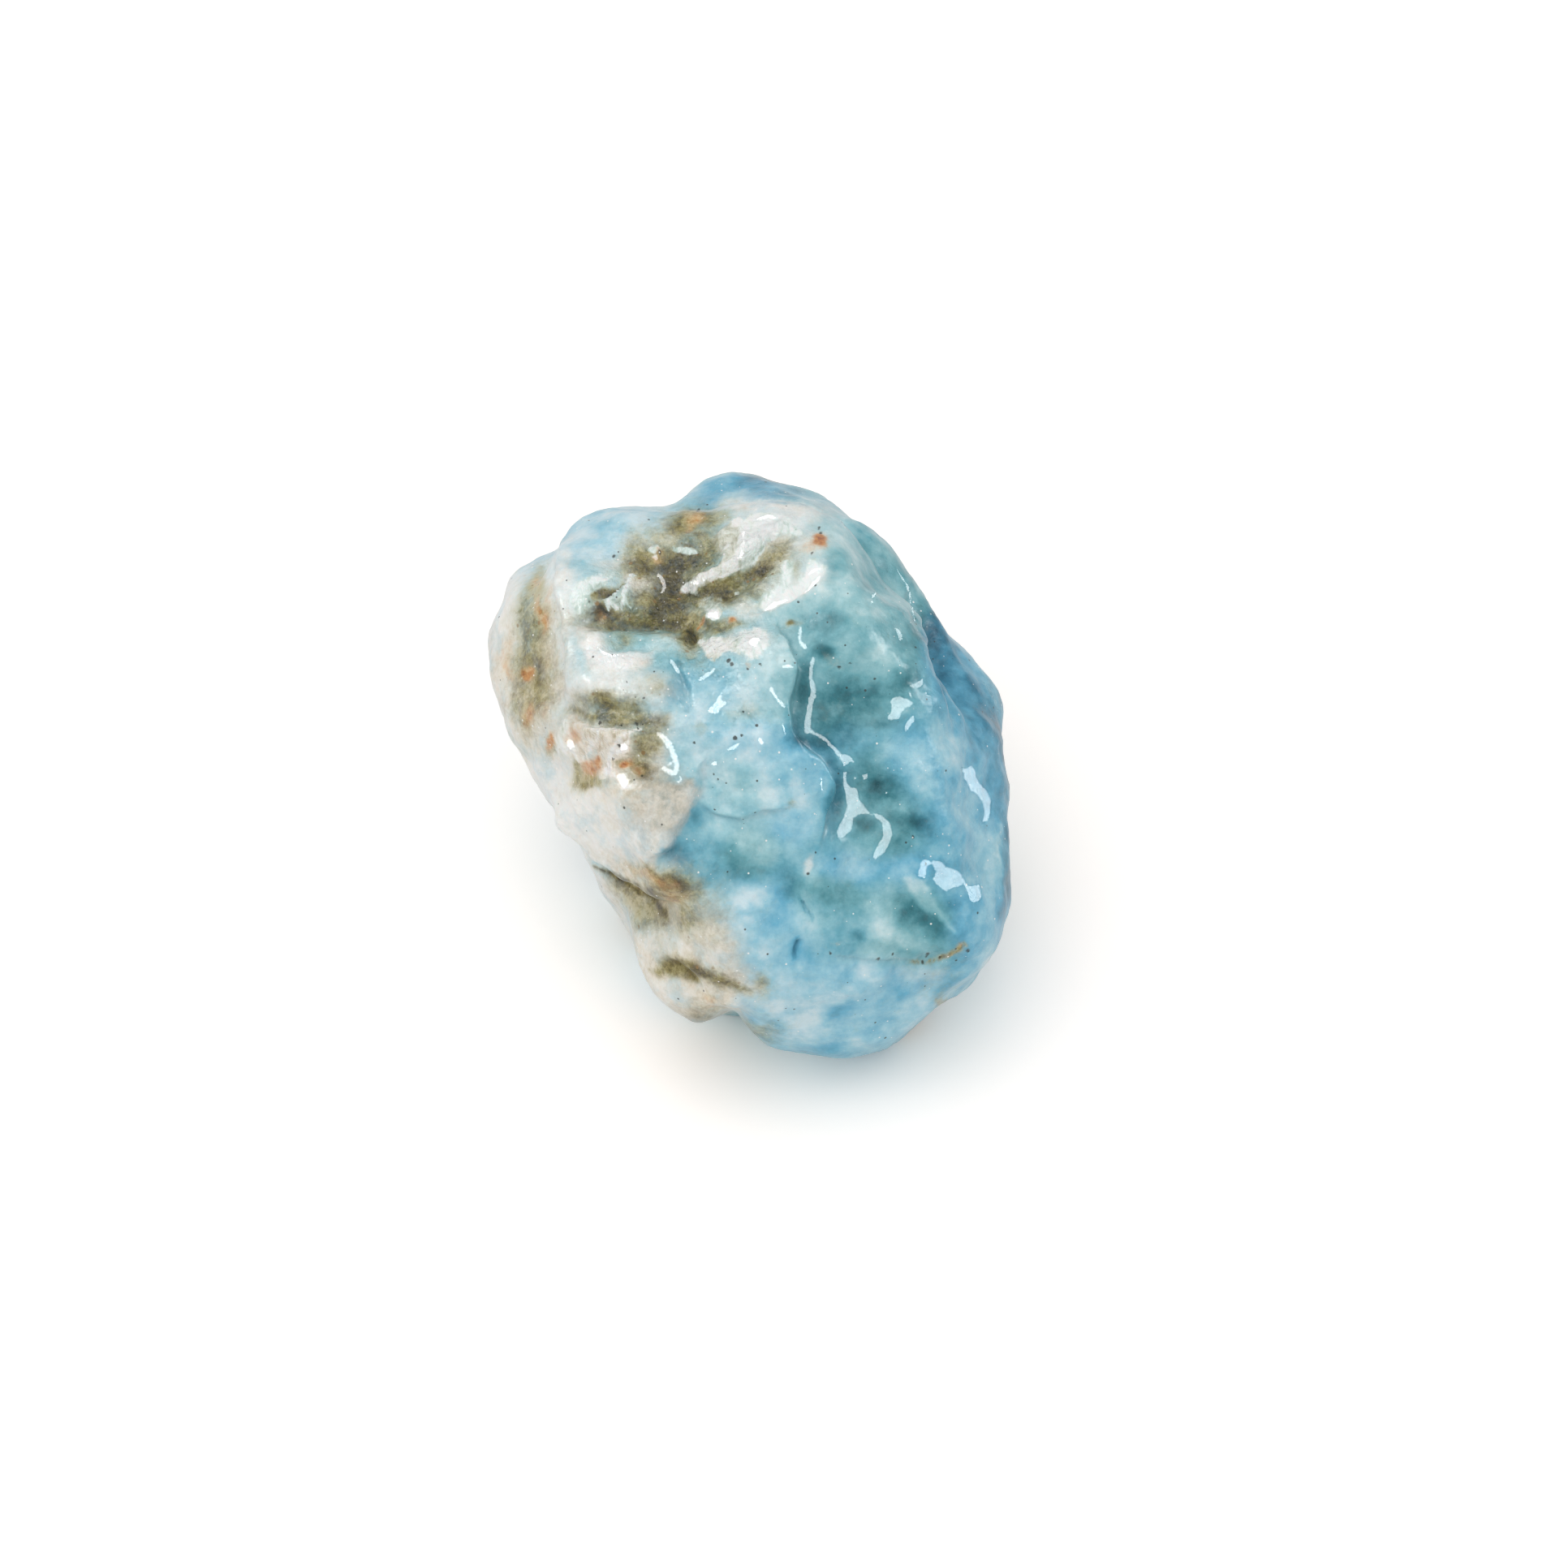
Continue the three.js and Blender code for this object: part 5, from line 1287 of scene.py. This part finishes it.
def new_material(name: str) -> tuple[bpy.types.Material, NodeSheet]:
    """Make an empty material.

    Args:
        name: The material's name.

    Returns:
        The material and a sheet to build it on.
    """
    material = bpy.data.materials.new(name)
    material.use_nodes = True
    material.node_tree.nodes.clear()
    return material, NodeSheet(material.node_tree)


@dataclass(frozen=True)
class Cloud:
    """A noise from about 0 to 1: size of its lumps in millimetres, finer levels, their share and twist."""

    size: float
    detail: float
    roughness: float
    distortion: float = 0.0
    comb: Colour | None = None  # what the place is multiplied by, part by part, to draw the lumps out

    def on(self, sheet: NodeSheet) -> Socket:
        """Put the noise on a sheet.

        Args:
            sheet: The sheet, whose place it is read at.

        Returns:
            The noise's socket.
        """
        place = sheet.place
        if self.comb:
            stretch = sheet.add("ShaderNodeVectorMath", {0: place, 1: self.comb}, operation="MULTIPLY")
            place = stretch.outputs[0]
        inputs = {"Vector": place, "Scale": 1.0 / self.size, "Detail": self.detail,
                  "Roughness": self.roughness, "Distortion": self.distortion}
        return sheet.add("ShaderNodeTexNoise", inputs).outputs["Fac"]


@dataclass(frozen=True)
class Pebbles:
    """Rounded cells of a size in millimetres, 0 in the middle of each and more towards its edge."""

    size: float

    def on(self, sheet: NodeSheet) -> Socket:
        """Put the cells on a sheet, read at its place."""
        inputs = {"Vector": sheet.place, "Scale": 1.0 / self.size}
        return sheet.add("ShaderNodeTexVoronoi", inputs, feature="SMOOTH_F1").outputs["Distance"]


@dataclass(frozen=True)
class Cover:
    """How a mineral covers what is under it.

    Its edge has a raggedness and a softness, and notches of a size in millimetres. Within it the mineral
    hides the share called most.
    """

    raggedness: float
    softness: float
    most: float
    notch: float = 1.1


@dataclass(frozen=True)
class Scatter:
    """Loose grains: size of their cells, share of the cells that hold one, their radius and strength."""

    cell: float
    share: float
    radius: float
    most: float = 1.0


class MaskGroups:
    """Two node groups: one breaks a zone's soft edge into a ragged natural one, one scatters grains."""

    coarse: Cloud = Cloud(1.0, 5.0, 0.62, 0.4)
    fine: Cloud = Cloud(0.27, 3.0, 0.6)
    fine_share: float = 0.3
    grain_rarity: float = 3.0  # the higher, the fewer of the grains are large
    grain_span: tuple[float, float] = (0.45, 1.6)  # smallest and largest grain, in radii
    grain_core: float = 0.6  # share of a grain's radius that is solid

    def __init__(self) -> None:
        """Build both groups once."""
        self.ragged = self._group("ragged_patch", self._ragged, "Zone", "Raggedness", "Softness", "Size")
        self.grains = self._group("scattered_grains", self._grains, "Size", "Share", "Radius")

    @staticmethod
    def _group(name: str, recipe: Callable[[NodeSheet, Sockets], Socket], *labels: str) -> bpy.types.NodeTree:
        """Make a group with a Place and number inputs, and the Mask that a recipe works out from them.

        Args:
            name: The group's name.
            recipe: Puts the nodes on a sheet and returns the mask.
            *labels: Names of the number inputs.

        Returns:
            The group.
        """
        tree = bpy.data.node_groups.new(name, "ShaderNodeTree")
        tree.interface.new_socket("Place", in_out="INPUT", socket_type="NodeSocketVector")
        for label in labels:
            tree.interface.new_socket(label, in_out="INPUT", socket_type="NodeSocketFloat")
        tree.interface.new_socket("Mask", in_out="OUTPUT", socket_type="NodeSocketFloat")
        sheet = NodeSheet(tree)
        sheet.add("NodeGroupOutput", {"Mask": recipe(sheet, sheet.add("NodeGroupInput").outputs)})
        return tree

    def _ragged(self, sheet: NodeSheet, inputs: Sockets) -> Socket:
        """Mask of a ragged patch: zone plus noise, faded in around a half.

        Args:
            sheet: The group's sheet.
            inputs: Place, Zone, Raggedness of the noise, Softness of the fade and Size of the notches.

        Returns:
            The fade of (Zone + Raggedness times coarse and fine noise) over Softness to each side of 0.5.
        """
        sheet.place = sheet.scaled(inputs["Place"], sheet.calc("DIVIDE", 1.0, inputs["Size"]))
        sway = sheet.total((self.coarse.on(sheet), 0.5, 1.0 - self.fine_share),
                           (self.fine.on(sheet), 0.5, self.fine_share))
        level = sheet.calc("ADD", inputs["Zone"], sheet.calc("MULTIPLY", sway, inputs["Raggedness"]))
        low = sheet.calc("SUBTRACT", 0.5, inputs["Softness"])
        high = sheet.calc("ADD", 0.5, inputs["Softness"])
        return sheet.fade(level, low, high)

    def _grains(self, sheet: NodeSheet, inputs: Sockets) -> Socket:
        """Mask of scattered grains.

        Args:
            sheet: The group's sheet.
            inputs: Place, Size of the cells, Share of the cells that hold a grain, and the grains' Radius.

        Returns:
            1 within a grain in the middle of each chosen cell, 0 elsewhere.
        """
        scale = sheet.calc("DIVIDE", 1.0, inputs["Size"])
        cells = sheet.add("ShaderNodeTexVoronoi", {"Vector": inputs["Place"], "Scale": scale}).outputs
        random = sheet.add("ShaderNodeSeparateColor", {0: cells["Color"]}).outputs
        chosen = sheet.calc("LESS_THAN", random[0], inputs["Share"])
        spread = sheet.fade(sheet.calc("POWER", random[1], self.grain_rarity), 0.0, 1.0, *self.grain_span)
        reach = sheet.calc("MULTIPLY", inputs["Radius"], spread)
        solid = sheet.calc("MULTIPLY", reach, self.grain_core)
        return sheet.calc("MULTIPLY", chosen, sheet.fade(cells["Distance"], solid, reach, 1.0, 0.0))

    def patch(self, sheet: NodeSheet, zone: str, cover: Cover) -> Socket:
        """Ragged mask of a zone.

        Args:
            sheet: The material's sheet.
            zone: The zone's name.
            cover: How the mineral covers what is under it.

        Returns:
            The mask's socket.
        """
        inputs = {"Place": sheet.place, "Zone": sheet.zone(zone), "Raggedness": cover.raggedness,
                  "Softness": cover.softness, "Size": cover.notch}
        mask = sheet.add("ShaderNodeGroup", inputs, node_tree=self.ragged).outputs["Mask"]
        return sheet.calc("MULTIPLY", mask, cover.most)

    def scatter(self, sheet: NodeSheet, grains: Scatter) -> Socket:
        """Mask of scattered grains.

        Args:
            sheet: The material's sheet.
            grains: How they are scattered.

        Returns:
            The mask's socket.
        """
        inputs = {"Place": sheet.place, "Size": grains.cell, "Share": grains.share, "Radius": grains.radius}
        mask = sheet.add("ShaderNodeGroup", inputs, node_tree=self.grains).outputs["Mask"]
        return sheet.calc("MULTIPLY", mask, grains.most)


@dataclass(frozen=True)
class LarimarFinish:
    """Wet larimar: cloudy blue pectolite with chalk, crystal, clay, rust and painted glints, under a film of
    water.

    Each row of colours runs from the mineral's lightest to its darkest or, for flakes and crystals, from
    their darkest to their lightest. Relief is in millimetres.
    """

    aims: dict[Glow, Array]  # the direction that throws each panel back at the eye
    masks: MaskGroups

    teals: tuple[Colour, ...] = screen(
        (212, 236, 238), (160, 207, 213), (114, 178, 188), (66, 136, 147), (18, 84, 94))
    skies: tuple[Colour, ...] = screen(
        (214, 236, 243), (162, 213, 229), (110, 185, 213), (72, 148, 178), (30, 98, 124))
    chalks: tuple[Colour, ...] = screen((250, 251, 248), (236, 236, 230), (213, 210, 200), (166, 174, 166))
    creams: tuple[Colour, ...] = screen((253, 247, 237), (241, 230, 211), (218, 201, 169), (176, 158, 122))
    clays: tuple[Colour, ...] = screen(
        (194, 183, 134), (157, 145, 84), (119, 106, 48), (82, 70, 24), (42, 34, 12))
    rusts: tuple[Colour, ...] = screen((238, 202, 152), (216, 150, 82), (166, 84, 30))
    flakes: tuple[Colour, ...] = screen((206, 190, 162), (238, 228, 210), (254, 248, 238), (255, 255, 252))
    crystals: tuple[Colour, ...] = screen((160, 182, 168), (206, 223, 214), (242, 253, 249), (252, 255, 253))
    black: tuple[Colour, ...] = screen((44, 46, 38))
    # Painted highlight colour: white specks that stand for pin-prick glints.
    painted_glint_white: tuple[Colour, ...] = screen((252, 252, 248))
    amber: tuple[Colour, ...] = screen((146, 116, 70))

    clouds: Cloud = Cloud(2.8, 2.0, 0.5)
    wisps: Cloud = Cloud(1.0, 3.0, 0.5)
    flecks: Cloud = Cloud(0.4, 3.0, 0.6)
    pebbles: Pebbles = Pebbles(1.1)
    tone: Cloud = Cloud(1.3, 5.0, 0.62, 0.5)
    fine: Cloud = Cloud(0.3, 4.0, 0.65, 0.6)
    mottle: Cloud = Cloud(1.7, 4.0, 0.6)
    strands: Cloud = Cloud(0.55, 4.0, 0.6, 1.2, comb=(1.0, 0.45, 0.45))
    grit: Cloud = Cloud(0.2, 4.0, 0.7)
    lumps: Cloud = Cloud(0.7, 3.0, 0.55)
    beads: Cloud = Cloud(0.45, 2.0, 0.6)
    ripple: Cloud = Cloud(0.25, 2.0, 0.5)

    # depth also deepens the crack's hollow as painted shade, and pale lays a painted glint by the pool.
    blue_depth: Mix = (("depth", -0.8, 0.5), ("pale", 0.0, -0.4), ("clouds", 0.5, 0.85), ("wisps", 0.5, 0.4),
                       ("pebbles", 0.4, 0.22), ("flecks", 0.5, 0.3))
    blue_hue: Mix = (("green", 0.0, 1.0), ("sky", 0.0, -1.0))
    # shade darkens partly as painted shade, and bright lightens partly as painted light.
    chalk_darkness: Mix = (("tone", 0.2, 1.1), ("fine", 0.5, 0.7), ("bright", 0.0, -0.4), ("shade", 0.0, 0.5))
    chalk_warmth: Mix = (("warm", 0.0, 0.85), ("mottle", 0.5, 1.6))
    chalk_thinness: tuple[float, ...] = (0.3, 0.55, 0.68, 0.97)  # 0.68 to 0.97 as mottle goes 0.3 to 0.55
    clay_darkness: Mix = (("shade", 0.0, 0.42), ("clay", -0.1, 0.4), ("bright", 0.0, -0.35),
                          ("tone", 0.5, 1.6), ("fine", 0.5, 1.3))
    crystal_glaze: Mix = (("bright", -0.55, 0.58), ("strands", 0.5, 1.9))
    rust_darkness: Mix = (("rust", 0.2, 0.95), ("tone", 0.5, 1.2), ("fine", 0.5, 1.4))
    torn_relief: Mix = (("grit", 0.5, 0.05), ("beads", 0.5, 0.3))
    skin_relief: Mix = (("grit", 0.5, 0.03), ("lumps", 0.5, 0.16))

    chalk_cover: Cover = Cover(0.8, 0.5, 1.0)
    clay_cover: Cover = Cover(1.0, 0.5, 0.95, 0.8)
    crystal_cover: Cover = Cover(0.9, 0.18, 1.0, 0.5)
    rust_cover: Cover = Cover(0.8, 0.45, 0.9, 0.6)
    soot_cover: Cover = Cover(0.2, 0.25, 0.85)
    clay_grains: Scatter = Scatter(0.5, 0.35, 0.22)
    # Painted highlights: scattered white specks that stand for pin-prick glints.
    painted_glints: Scatter = Scatter(0.36, 0.4, 0.14, 0.9)
    soot_grains: Scatter = Scatter(0.6, 0.45, 0.11, 0.8)

    whole_tear: float = 0.08  # share of the torn relief that is left where the stone is whole
    stone_roughness: tuple[float, float] = (0.38, 0.55)  # where it is whole and where it is torn
    damp_roughness: float = 0.28  # of the thin wet skin outside the films
    water_roughness: float = 0.03
    water_bend: float = 1.33
    torn_wetness: float = 0.42
    wet_span: tuple[float, float] = (0.3, 0.5)  # wetness where damp ends and water starts
    film_edge: tuple[float, float] = (0.44, 0.56)
    film_ripple: float = 0.3
    glow_share: float = 0.35  # of the light that goes under the skin
    glow_reach: Colour = (0.7, 1.0, 1.1)  # how far red, green and blue go there
    glow_scale: float = 0.8 * MM

    def source(self, sheet: NodeSheet, name: str) -> Socket:
        """One of the finish's patterns, or else one of the stone's zones, made once a sheet.

        Args:
            sheet: The material's sheet.
            name: The pattern's or the zone's name.

        Returns:
            Its socket.
        """
        if name not in sheet.sources:
            pattern = getattr(self, name, None)
            sheet.sources[name] = pattern.on(sheet) if pattern else sheet.zone(name)
        return sheet.sources[name]

    def mixed(self, sheet: NodeSheet, mix: Mix) -> Socket:
        """Sum over a mix's rows of (source - middle) times weight."""
        return sheet.total(*((self.source(sheet, name), middle, weight) for name, middle, weight in mix))

    def blue_body(self, sheet: NodeSheet) -> Socket:
        """Cloudy blue of the pectolite itself, from pale through sky or teal to deep teal.

        Args:
            sheet: The material's sheet.

        Returns:
            The colour's socket.
        """
        depth = self.mixed(sheet, self.blue_depth)
        hue = sheet.fade(self.mixed(sheet, self.blue_hue), -0.5, 0.5)
        return sheet.blend(hue, sheet.ramp(depth, self.skies), sheet.ramp(depth, self.teals))

    def minerals(self, sheet: NodeSheet) -> Socket:
        """Lay chalk, clay, crystal, rust, loose grains and painted white glints over the blue body.

        Args:
            sheet: The material's sheet.

        Returns:
            The finished colour's socket.
        """
        darkness = self.mixed(sheet, self.chalk_darkness)
        warmth = self.mixed(sheet, self.chalk_warmth)
        chalk = sheet.blend(warmth, sheet.ramp(darkness, self.chalks), sheet.ramp(darkness, self.creams))
        thinness = sheet.fade(self.source(sheet, "mottle"), *self.chalk_thinness)
        mask = sheet.calc("MULTIPLY", self.masks.patch(sheet, "chalk", self.chalk_cover), thinness)
        colour = sheet.blend(mask, self.blue_body(sheet), chalk)

        clay = sheet.ramp(self.mixed(sheet, self.clay_darkness), self.clays)
        mask = self.masks.patch(sheet, "clay", self.clay_cover)
        colour = sheet.blend(mask, colour, clay)
        mask = sheet.calc("MULTIPLY", self.masks.scatter(sheet, self.clay_grains), mask)
        colour = sheet.blend(mask, colour, *self.amber)

        glaze = self.mixed(sheet, self.crystal_glaze)
        warmth = self.source(sheet, "warm")
        crystal = sheet.blend(warmth, sheet.ramp(glaze, self.crystals), sheet.ramp(glaze, self.flakes))
        colour = sheet.blend(self.masks.patch(sheet, "crystal", self.crystal_cover), colour, crystal)

        rust = sheet.ramp(self.mixed(sheet, self.rust_darkness), self.rusts)
        colour = sheet.blend(self.masks.patch(sheet, "rust", self.rust_cover), colour, rust)
        colour = sheet.blend(self.masks.patch(sheet, "soot", self.soot_cover), colour, *self.black)
        # Painted highlights: white specks that stand for pin-prick glints.
        colour = sheet.blend(self.masks.scatter(sheet, self.painted_glints), colour, *self.painted_glint_white)
        return sheet.blend(self.masks.scatter(sheet, self.soot_grains), colour, *self.black)

    def water(self, sheet: NodeSheet, torn: Socket) -> Socket:
        """Surface direction of the water: rough where the stone is torn, and level within each film.

        Args:
            sheet: The material's sheet.
            torn: Height of the torn stone's relief.

        Returns:
            The direction's socket.
        """
        facing = sheet.bump(torn)
        for glow, aim in self.aims.items():
            level = self.mixed(sheet, ((glow.value, 0.0, 1.0), ("ripple", 0.5, self.film_ripple)))
            facing = sheet.swap(sheet.fade(level, *self.film_edge), facing, tuple(aim))
        return facing

    def build(self) -> bpy.types.Material:
        """Make the material.

        Returns:
            The material, read in Object coordinates.
        """
        material, sheet = new_material("wet_larimar")
        sheet.place = sheet.scaled(sheet.add("ShaderNodeTexCoord").outputs["Object"], 1.0 / MM)
        broken = self.source(sheet, "broken")
        tear = sheet.fade(broken, 0.0, 1.0, self.whole_tear, 1.0)
        torn = sheet.calc("MULTIPLY", self.mixed(sheet, self.torn_relief), tear)
        relief = sheet.calc("ADD", torn, self.mixed(sheet, self.skin_relief))
        films = sheet.calc("MAXIMUM", *(self.source(sheet, glow.value) for glow in self.aims))
        wetness = sheet.calc("MAXIMUM", films, sheet.calc("MULTIPLY", broken, self.torn_wetness))
        shader = sheet.add("ShaderNodeBsdfPrincipled", {
            "Base Color": self.minerals(sheet),
            "Roughness": sheet.fade(broken, 0.0, 1.0, *self.stone_roughness),
            "Normal": sheet.bump(relief),
            "Subsurface Weight": self.glow_share,
            "Subsurface Radius": self.glow_reach,
            "Subsurface Scale": self.glow_scale,
            "Specular IOR Level": 0.2,
            "Coat Weight": 1.0,
            "Coat Roughness": sheet.fade(wetness, *self.wet_span, self.damp_roughness, self.water_roughness),
            "Coat IOR": self.water_bend,
            "Coat Normal": self.water(sheet, torn),
        })
        sheet.add("ShaderNodeOutputMaterial", {"Surface": shader.outputs[0]})
        return material


# ------------------------------------------------------------------------------------------------ the stone


def into_scene(name: str, data: bpy.types.ID) -> bpy.types.Object:
    """Make an object and put it in the scene.

    Args:
        name: The object's name.
        data: Its mesh, light or camera.

    Returns:
        The object.
    """
    thing = bpy.data.objects.new(name, data)
    bpy.context.scene.collection.objects.link(thing)
    return thing


@dataclass
class Stone:
    """The stone itself: a fine mesh over the main form, with its mineral zones and finish."""

    cells: int = 127
    front_gather: float = 0.55
    inset: float = 0.06
    form: StoneForm = field(default_factory=StoneForm)
    relief: FineRelief = field(default_factory=FineRelief)
    zones: MineralZones = field(default_factory=MineralZones)
    films: WetFilms = field(default_factory=WetFilms)

    def sphere(self) -> tuple[Array, Array]:
        """Directions over a sphere and the quads that join them.

        Each side of a cube carries a square grid whose lines stand at equal angles, tan(a) for a from -45
        to 45 degrees, and every point is drawn to unit length. Points that two sides share are made one.

        Returns:
            Unit directions, and quads as rows of four indices, seen anticlockwise from outside.
        """
        angle = np.tan(np.linspace(-math.pi / 4, math.pi / 4, self.cells + 1))
        u, v = np.meshgrid(angle, angle, indexing="ij")
        one = np.ones_like(u)
        sides = ((one, u, v), (-one, -u, v), (-u, one, v), (u, -one, v), (-v, u, one), (v, u, -one))
        points = np.concatenate([np.stack([c.ravel() for c in side], axis=1) for side in sides])
        points /= np.linalg.norm(points, axis=1)[:, None]
        index = np.arange((self.cells + 1) ** 2).reshape(self.cells + 1, -1)
        quad = np.stack([index[:-1, :-1], index[1:, :-1], index[1:, 1:], index[:-1, 1:]], axis=-1)
        quad = quad.reshape(-1, 4)
        quads = np.concatenate([quad + side * (self.cells + 1) ** 2 for side in range(len(sides))])
        _, first, merged = np.unique(np.round(points, 7), axis=0, return_index=True, return_inverse=True)
        return points[first], merged.reshape(-1)[quads]

    def gathered(self, directions: Array) -> Array:
        """Squeeze directions towards +z as a stereographic map does.

        The tangent of half the angle from +z is multiplied by front_gather, so that quads keep their shape
        while those on the broad face get smaller.

        Args:
            directions: Unit directions, one row each.

        Returns:
            The squeezed directions.
        """
        half = np.sqrt((1.0 - directions[:, 2]) / np.maximum(1e-12, 1.0 + directions[:, 2]))
        tilt = 2.0 * np.arctan(half * self.front_gather)
        level = np.maximum(1e-12, np.hypot(directions[:, 0], directions[:, 1]))
        out = np.sin(tilt) / level
        return np.stack([directions[:, 0] * out, directions[:, 1] * out, np.cos(tilt)], axis=1)

    @staticmethod
    def laid_down(places: Array) -> Array:
        """Turn places from the face's axes to the way the stone lies, in metres, flattened at the ground."""
        lying = places @ np.array(FACE_AXES) + (0.0, 0.0, CENTRE_HEIGHT)
        return np.maximum(lying, (-np.inf, -np.inf, 0.0)) * MM

    def build(self, finish: bpy.types.Material) -> bpy.types.Object:
        """Make the stone.

        Args:
            finish: The stone's material.

        Returns:
            The stone's object, at the origin.
        """
        sphere, quads = self.sphere()
        directions = self.gathered(sphere)
        reach = self.form.reach(directions)
        places = directions * reach[:, None]
        shares = self.zones.shares(places) | self.films.levels(places)
        reach = reach + self.relief.rise(places, self.form.front(places), shares["broken"]) - self.inset
        corners = self.laid_down(directions * reach[:, None])
        mesh = bpy.data.meshes.new("stone")
        mesh.from_pydata(corners, [], quads)
        first, second, third, _ = corners[quads].transpose(1, 0, 2)
        outward = np.cross(second - first, third - first)
        if ((first - corners.mean(axis=0)) * outward).sum() < 0:
            mesh.flip_normals()
        for name, share in shares.items():
            mesh.attributes.new(name, "FLOAT", "POINT").data.foreach_set("value", share.astype(np.float32))
        mesh.shade_smooth()
        mesh.materials.append(finish)
        mesh.update()
        LOG.info("stone: %d corners, %d quads", len(corners), len(quads))
        return into_scene("stone", mesh)


# ----------------------------------------------------------------------------------------------- the studio


@dataclass(frozen=True)
class Softbox:
    """A lit panel: where it hangs from the stone, how large it is and how bright its face is."""

    name: str
    toward: tuple[float, float, float]
    distance: float
    size: tuple[float, float]
    radiance: float
    only_shine: bool = False

    def direction(self) -> Array:
        """Unit direction from the stone to the panel, in the frame's axes."""
        return np.array(self.toward) / np.linalg.norm(self.toward)

    def build(self, target: Array) -> bpy.types.Object:
        """Hang the panel, facing the stone.

        A panel's power is pi times its area times its radiance.

        Args:
            target: The point that it faces, in metres.

        Returns:
            The light's object.
        """
        light = bpy.data.lights.new(self.name, "AREA")
        light.shape = "RECTANGLE"
        light.size, light.size_y = self.size
        light.energy = math.pi * self.size[0] * self.size[1] * self.radiance
        panel = into_scene(self.name, light)
        away = self.direction()
        panel.location = target + away * self.distance
        panel.rotation_euler = Vector(away).to_track_quat("Z", "Y").to_euler()
        panel.visible_camera = False
        panel.visible_diffuse = not self.only_shine
        return panel


@dataclass
class Studio:
    """White table, soft panels and the camera."""

    lens: float = 100.0
    aim_spot: Spot = (1.8, -1.05)
    table_half: float = 1.5  # metres
    table_drop: float = 2e-5
    table_bounce: float = 0.9
    table_seen: Colour = (1.33, 1.26, 1.22)
    sky_level: float = 0.62
    shine_level: float = 0.3
    softboxes: dict[Glow, Softbox] = field(default_factory=lambda: {
        Glow.TOP: Softbox("top_panel", (-0.62, 0.0, 0.78), 0.45, (0.14, 0.12), 21.0, True),
        Glow.SIDE: Softbox("side_panel", (0.80, 0.0, 0.62), 0.45, (0.12, 0.14), 17.0, True),
    })
    overhead: Softbox = Softbox("overhead", (-0.2, -0.2, 1.0), 0.6, (0.65, 0.65), 1.2)

    @property
    def centre(self) -> Array:
        """The stone's centre, in metres."""
        return np.array([0.0, 0.0, CENTRE_HEIGHT * MM])

    @property
    def axes(self) -> Array:
        """The broad face's x, y and z directions, one row each, in the frame's axes."""
        return np.array(FACE_AXES)

    def aims(self) -> dict[Glow, Array]:
        """The direction halfway from the eye to each panel, in the frame's axes."""
        halfways = {glow: box.direction() + self.axes[2] for glow, box in self.softboxes.items()}
        return {glow: halfway / np.linalg.norm(halfway) for glow, halfway in halfways.items()}

    def table(self) -> bpy.types.Object:
        """Make the table top.

        Returns:
            The table's object, a square a hair under the ground plane.
        """
        half, level = self.table_half, -self.table_drop
        mesh = bpy.data.meshes.new("table")
        around = ((-half, -half), (half, -half), (half, half), (-half, half))
        mesh.from_pydata([(x, y, level) for x, y in around], [], [(0, 1, 2, 3)])
        material, sheet = new_material("white_table")
        seen = sheet.add("ShaderNodeLightPath").outputs["Is Camera Ray"]
        tint = sheet.blend(seen, (self.table_bounce,) * 3, self.table_seen)
        matt = sheet.add("ShaderNodeBsdfDiffuse", {"Color": tint})
        sheet.add("ShaderNodeOutputMaterial", {"Surface": matt.outputs[0]})
        mesh.materials.append(material)
        table = into_scene("table", mesh)
        return table

    def sky(self) -> None:
        """Even white surroundings, which the eye sees brighter than they light, and shine sees dimmer."""
        world = bpy.data.worlds.new("white_room")
        world.use_nodes = True
        sheet = NodeSheet(world.node_tree)
        back = world.node_tree.nodes["Background"]
        ray = sheet.add("ShaderNodeLightPath").outputs
        back.inputs["Color"].default_value = (1.0, 1.0, 1.0, 1.0)
        unseen = sheet.fade(ray["Is Glossy Ray"], 0.0, 1.0, self.sky_level, self.shine_level)
        sheet.feed(back.inputs["Strength"], sheet.fade(ray["Is Camera Ray"], 0.0, 1.0, unseen, 1.0))
        bpy.context.scene.world = world

    def camera(self) -> bpy.types.Object:
        """Stand the camera square to the broad face.

        Returns:
            The camera's object.
        """
        data = bpy.data.cameras.new("eye")
        data.lens = self.lens
        data.sensor_width = 36.0
        data.clip_start = 0.01
        camera = into_scene("eye", data)
        x_axis, y_axis, z_axis = self.axes
        offset = x_axis * self.aim_spot[0] + y_axis * self.aim_spot[1] + z_axis * VIEW_DISTANCE
        camera.location = self.centre + offset * MM
        camera.rotation_euler = (math.pi / 2 - FACE_LEAN, 0.0, 0.0)
        bpy.context.scene.camera = camera
        return camera

    def build(self) -> None:
        """Set out table, surroundings, panels and camera."""
        self.camera()
        self.table()
        self.sky()
        boxes = (self.overhead, *self.softboxes.values())
        for box in boxes:
            box.build(self.centre)
        bpy.context.scene.view_settings.view_transform = "Standard"
        LOG.info("studio: %d panels", len(boxes))


def main() -> None:
    """Build the studio, then the stone over its solid."""
    logging.basicConfig(level=logging.INFO, format="%(message)s")
    studio = Studio()
    studio.build()
    finish = LarimarFinish(studio.aims(), MaskGroups()).build()
    stone = Stone().build(finish)
    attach(stone, "root")
    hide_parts(STONE_NODE)


if __name__ == "__main__":
    main()
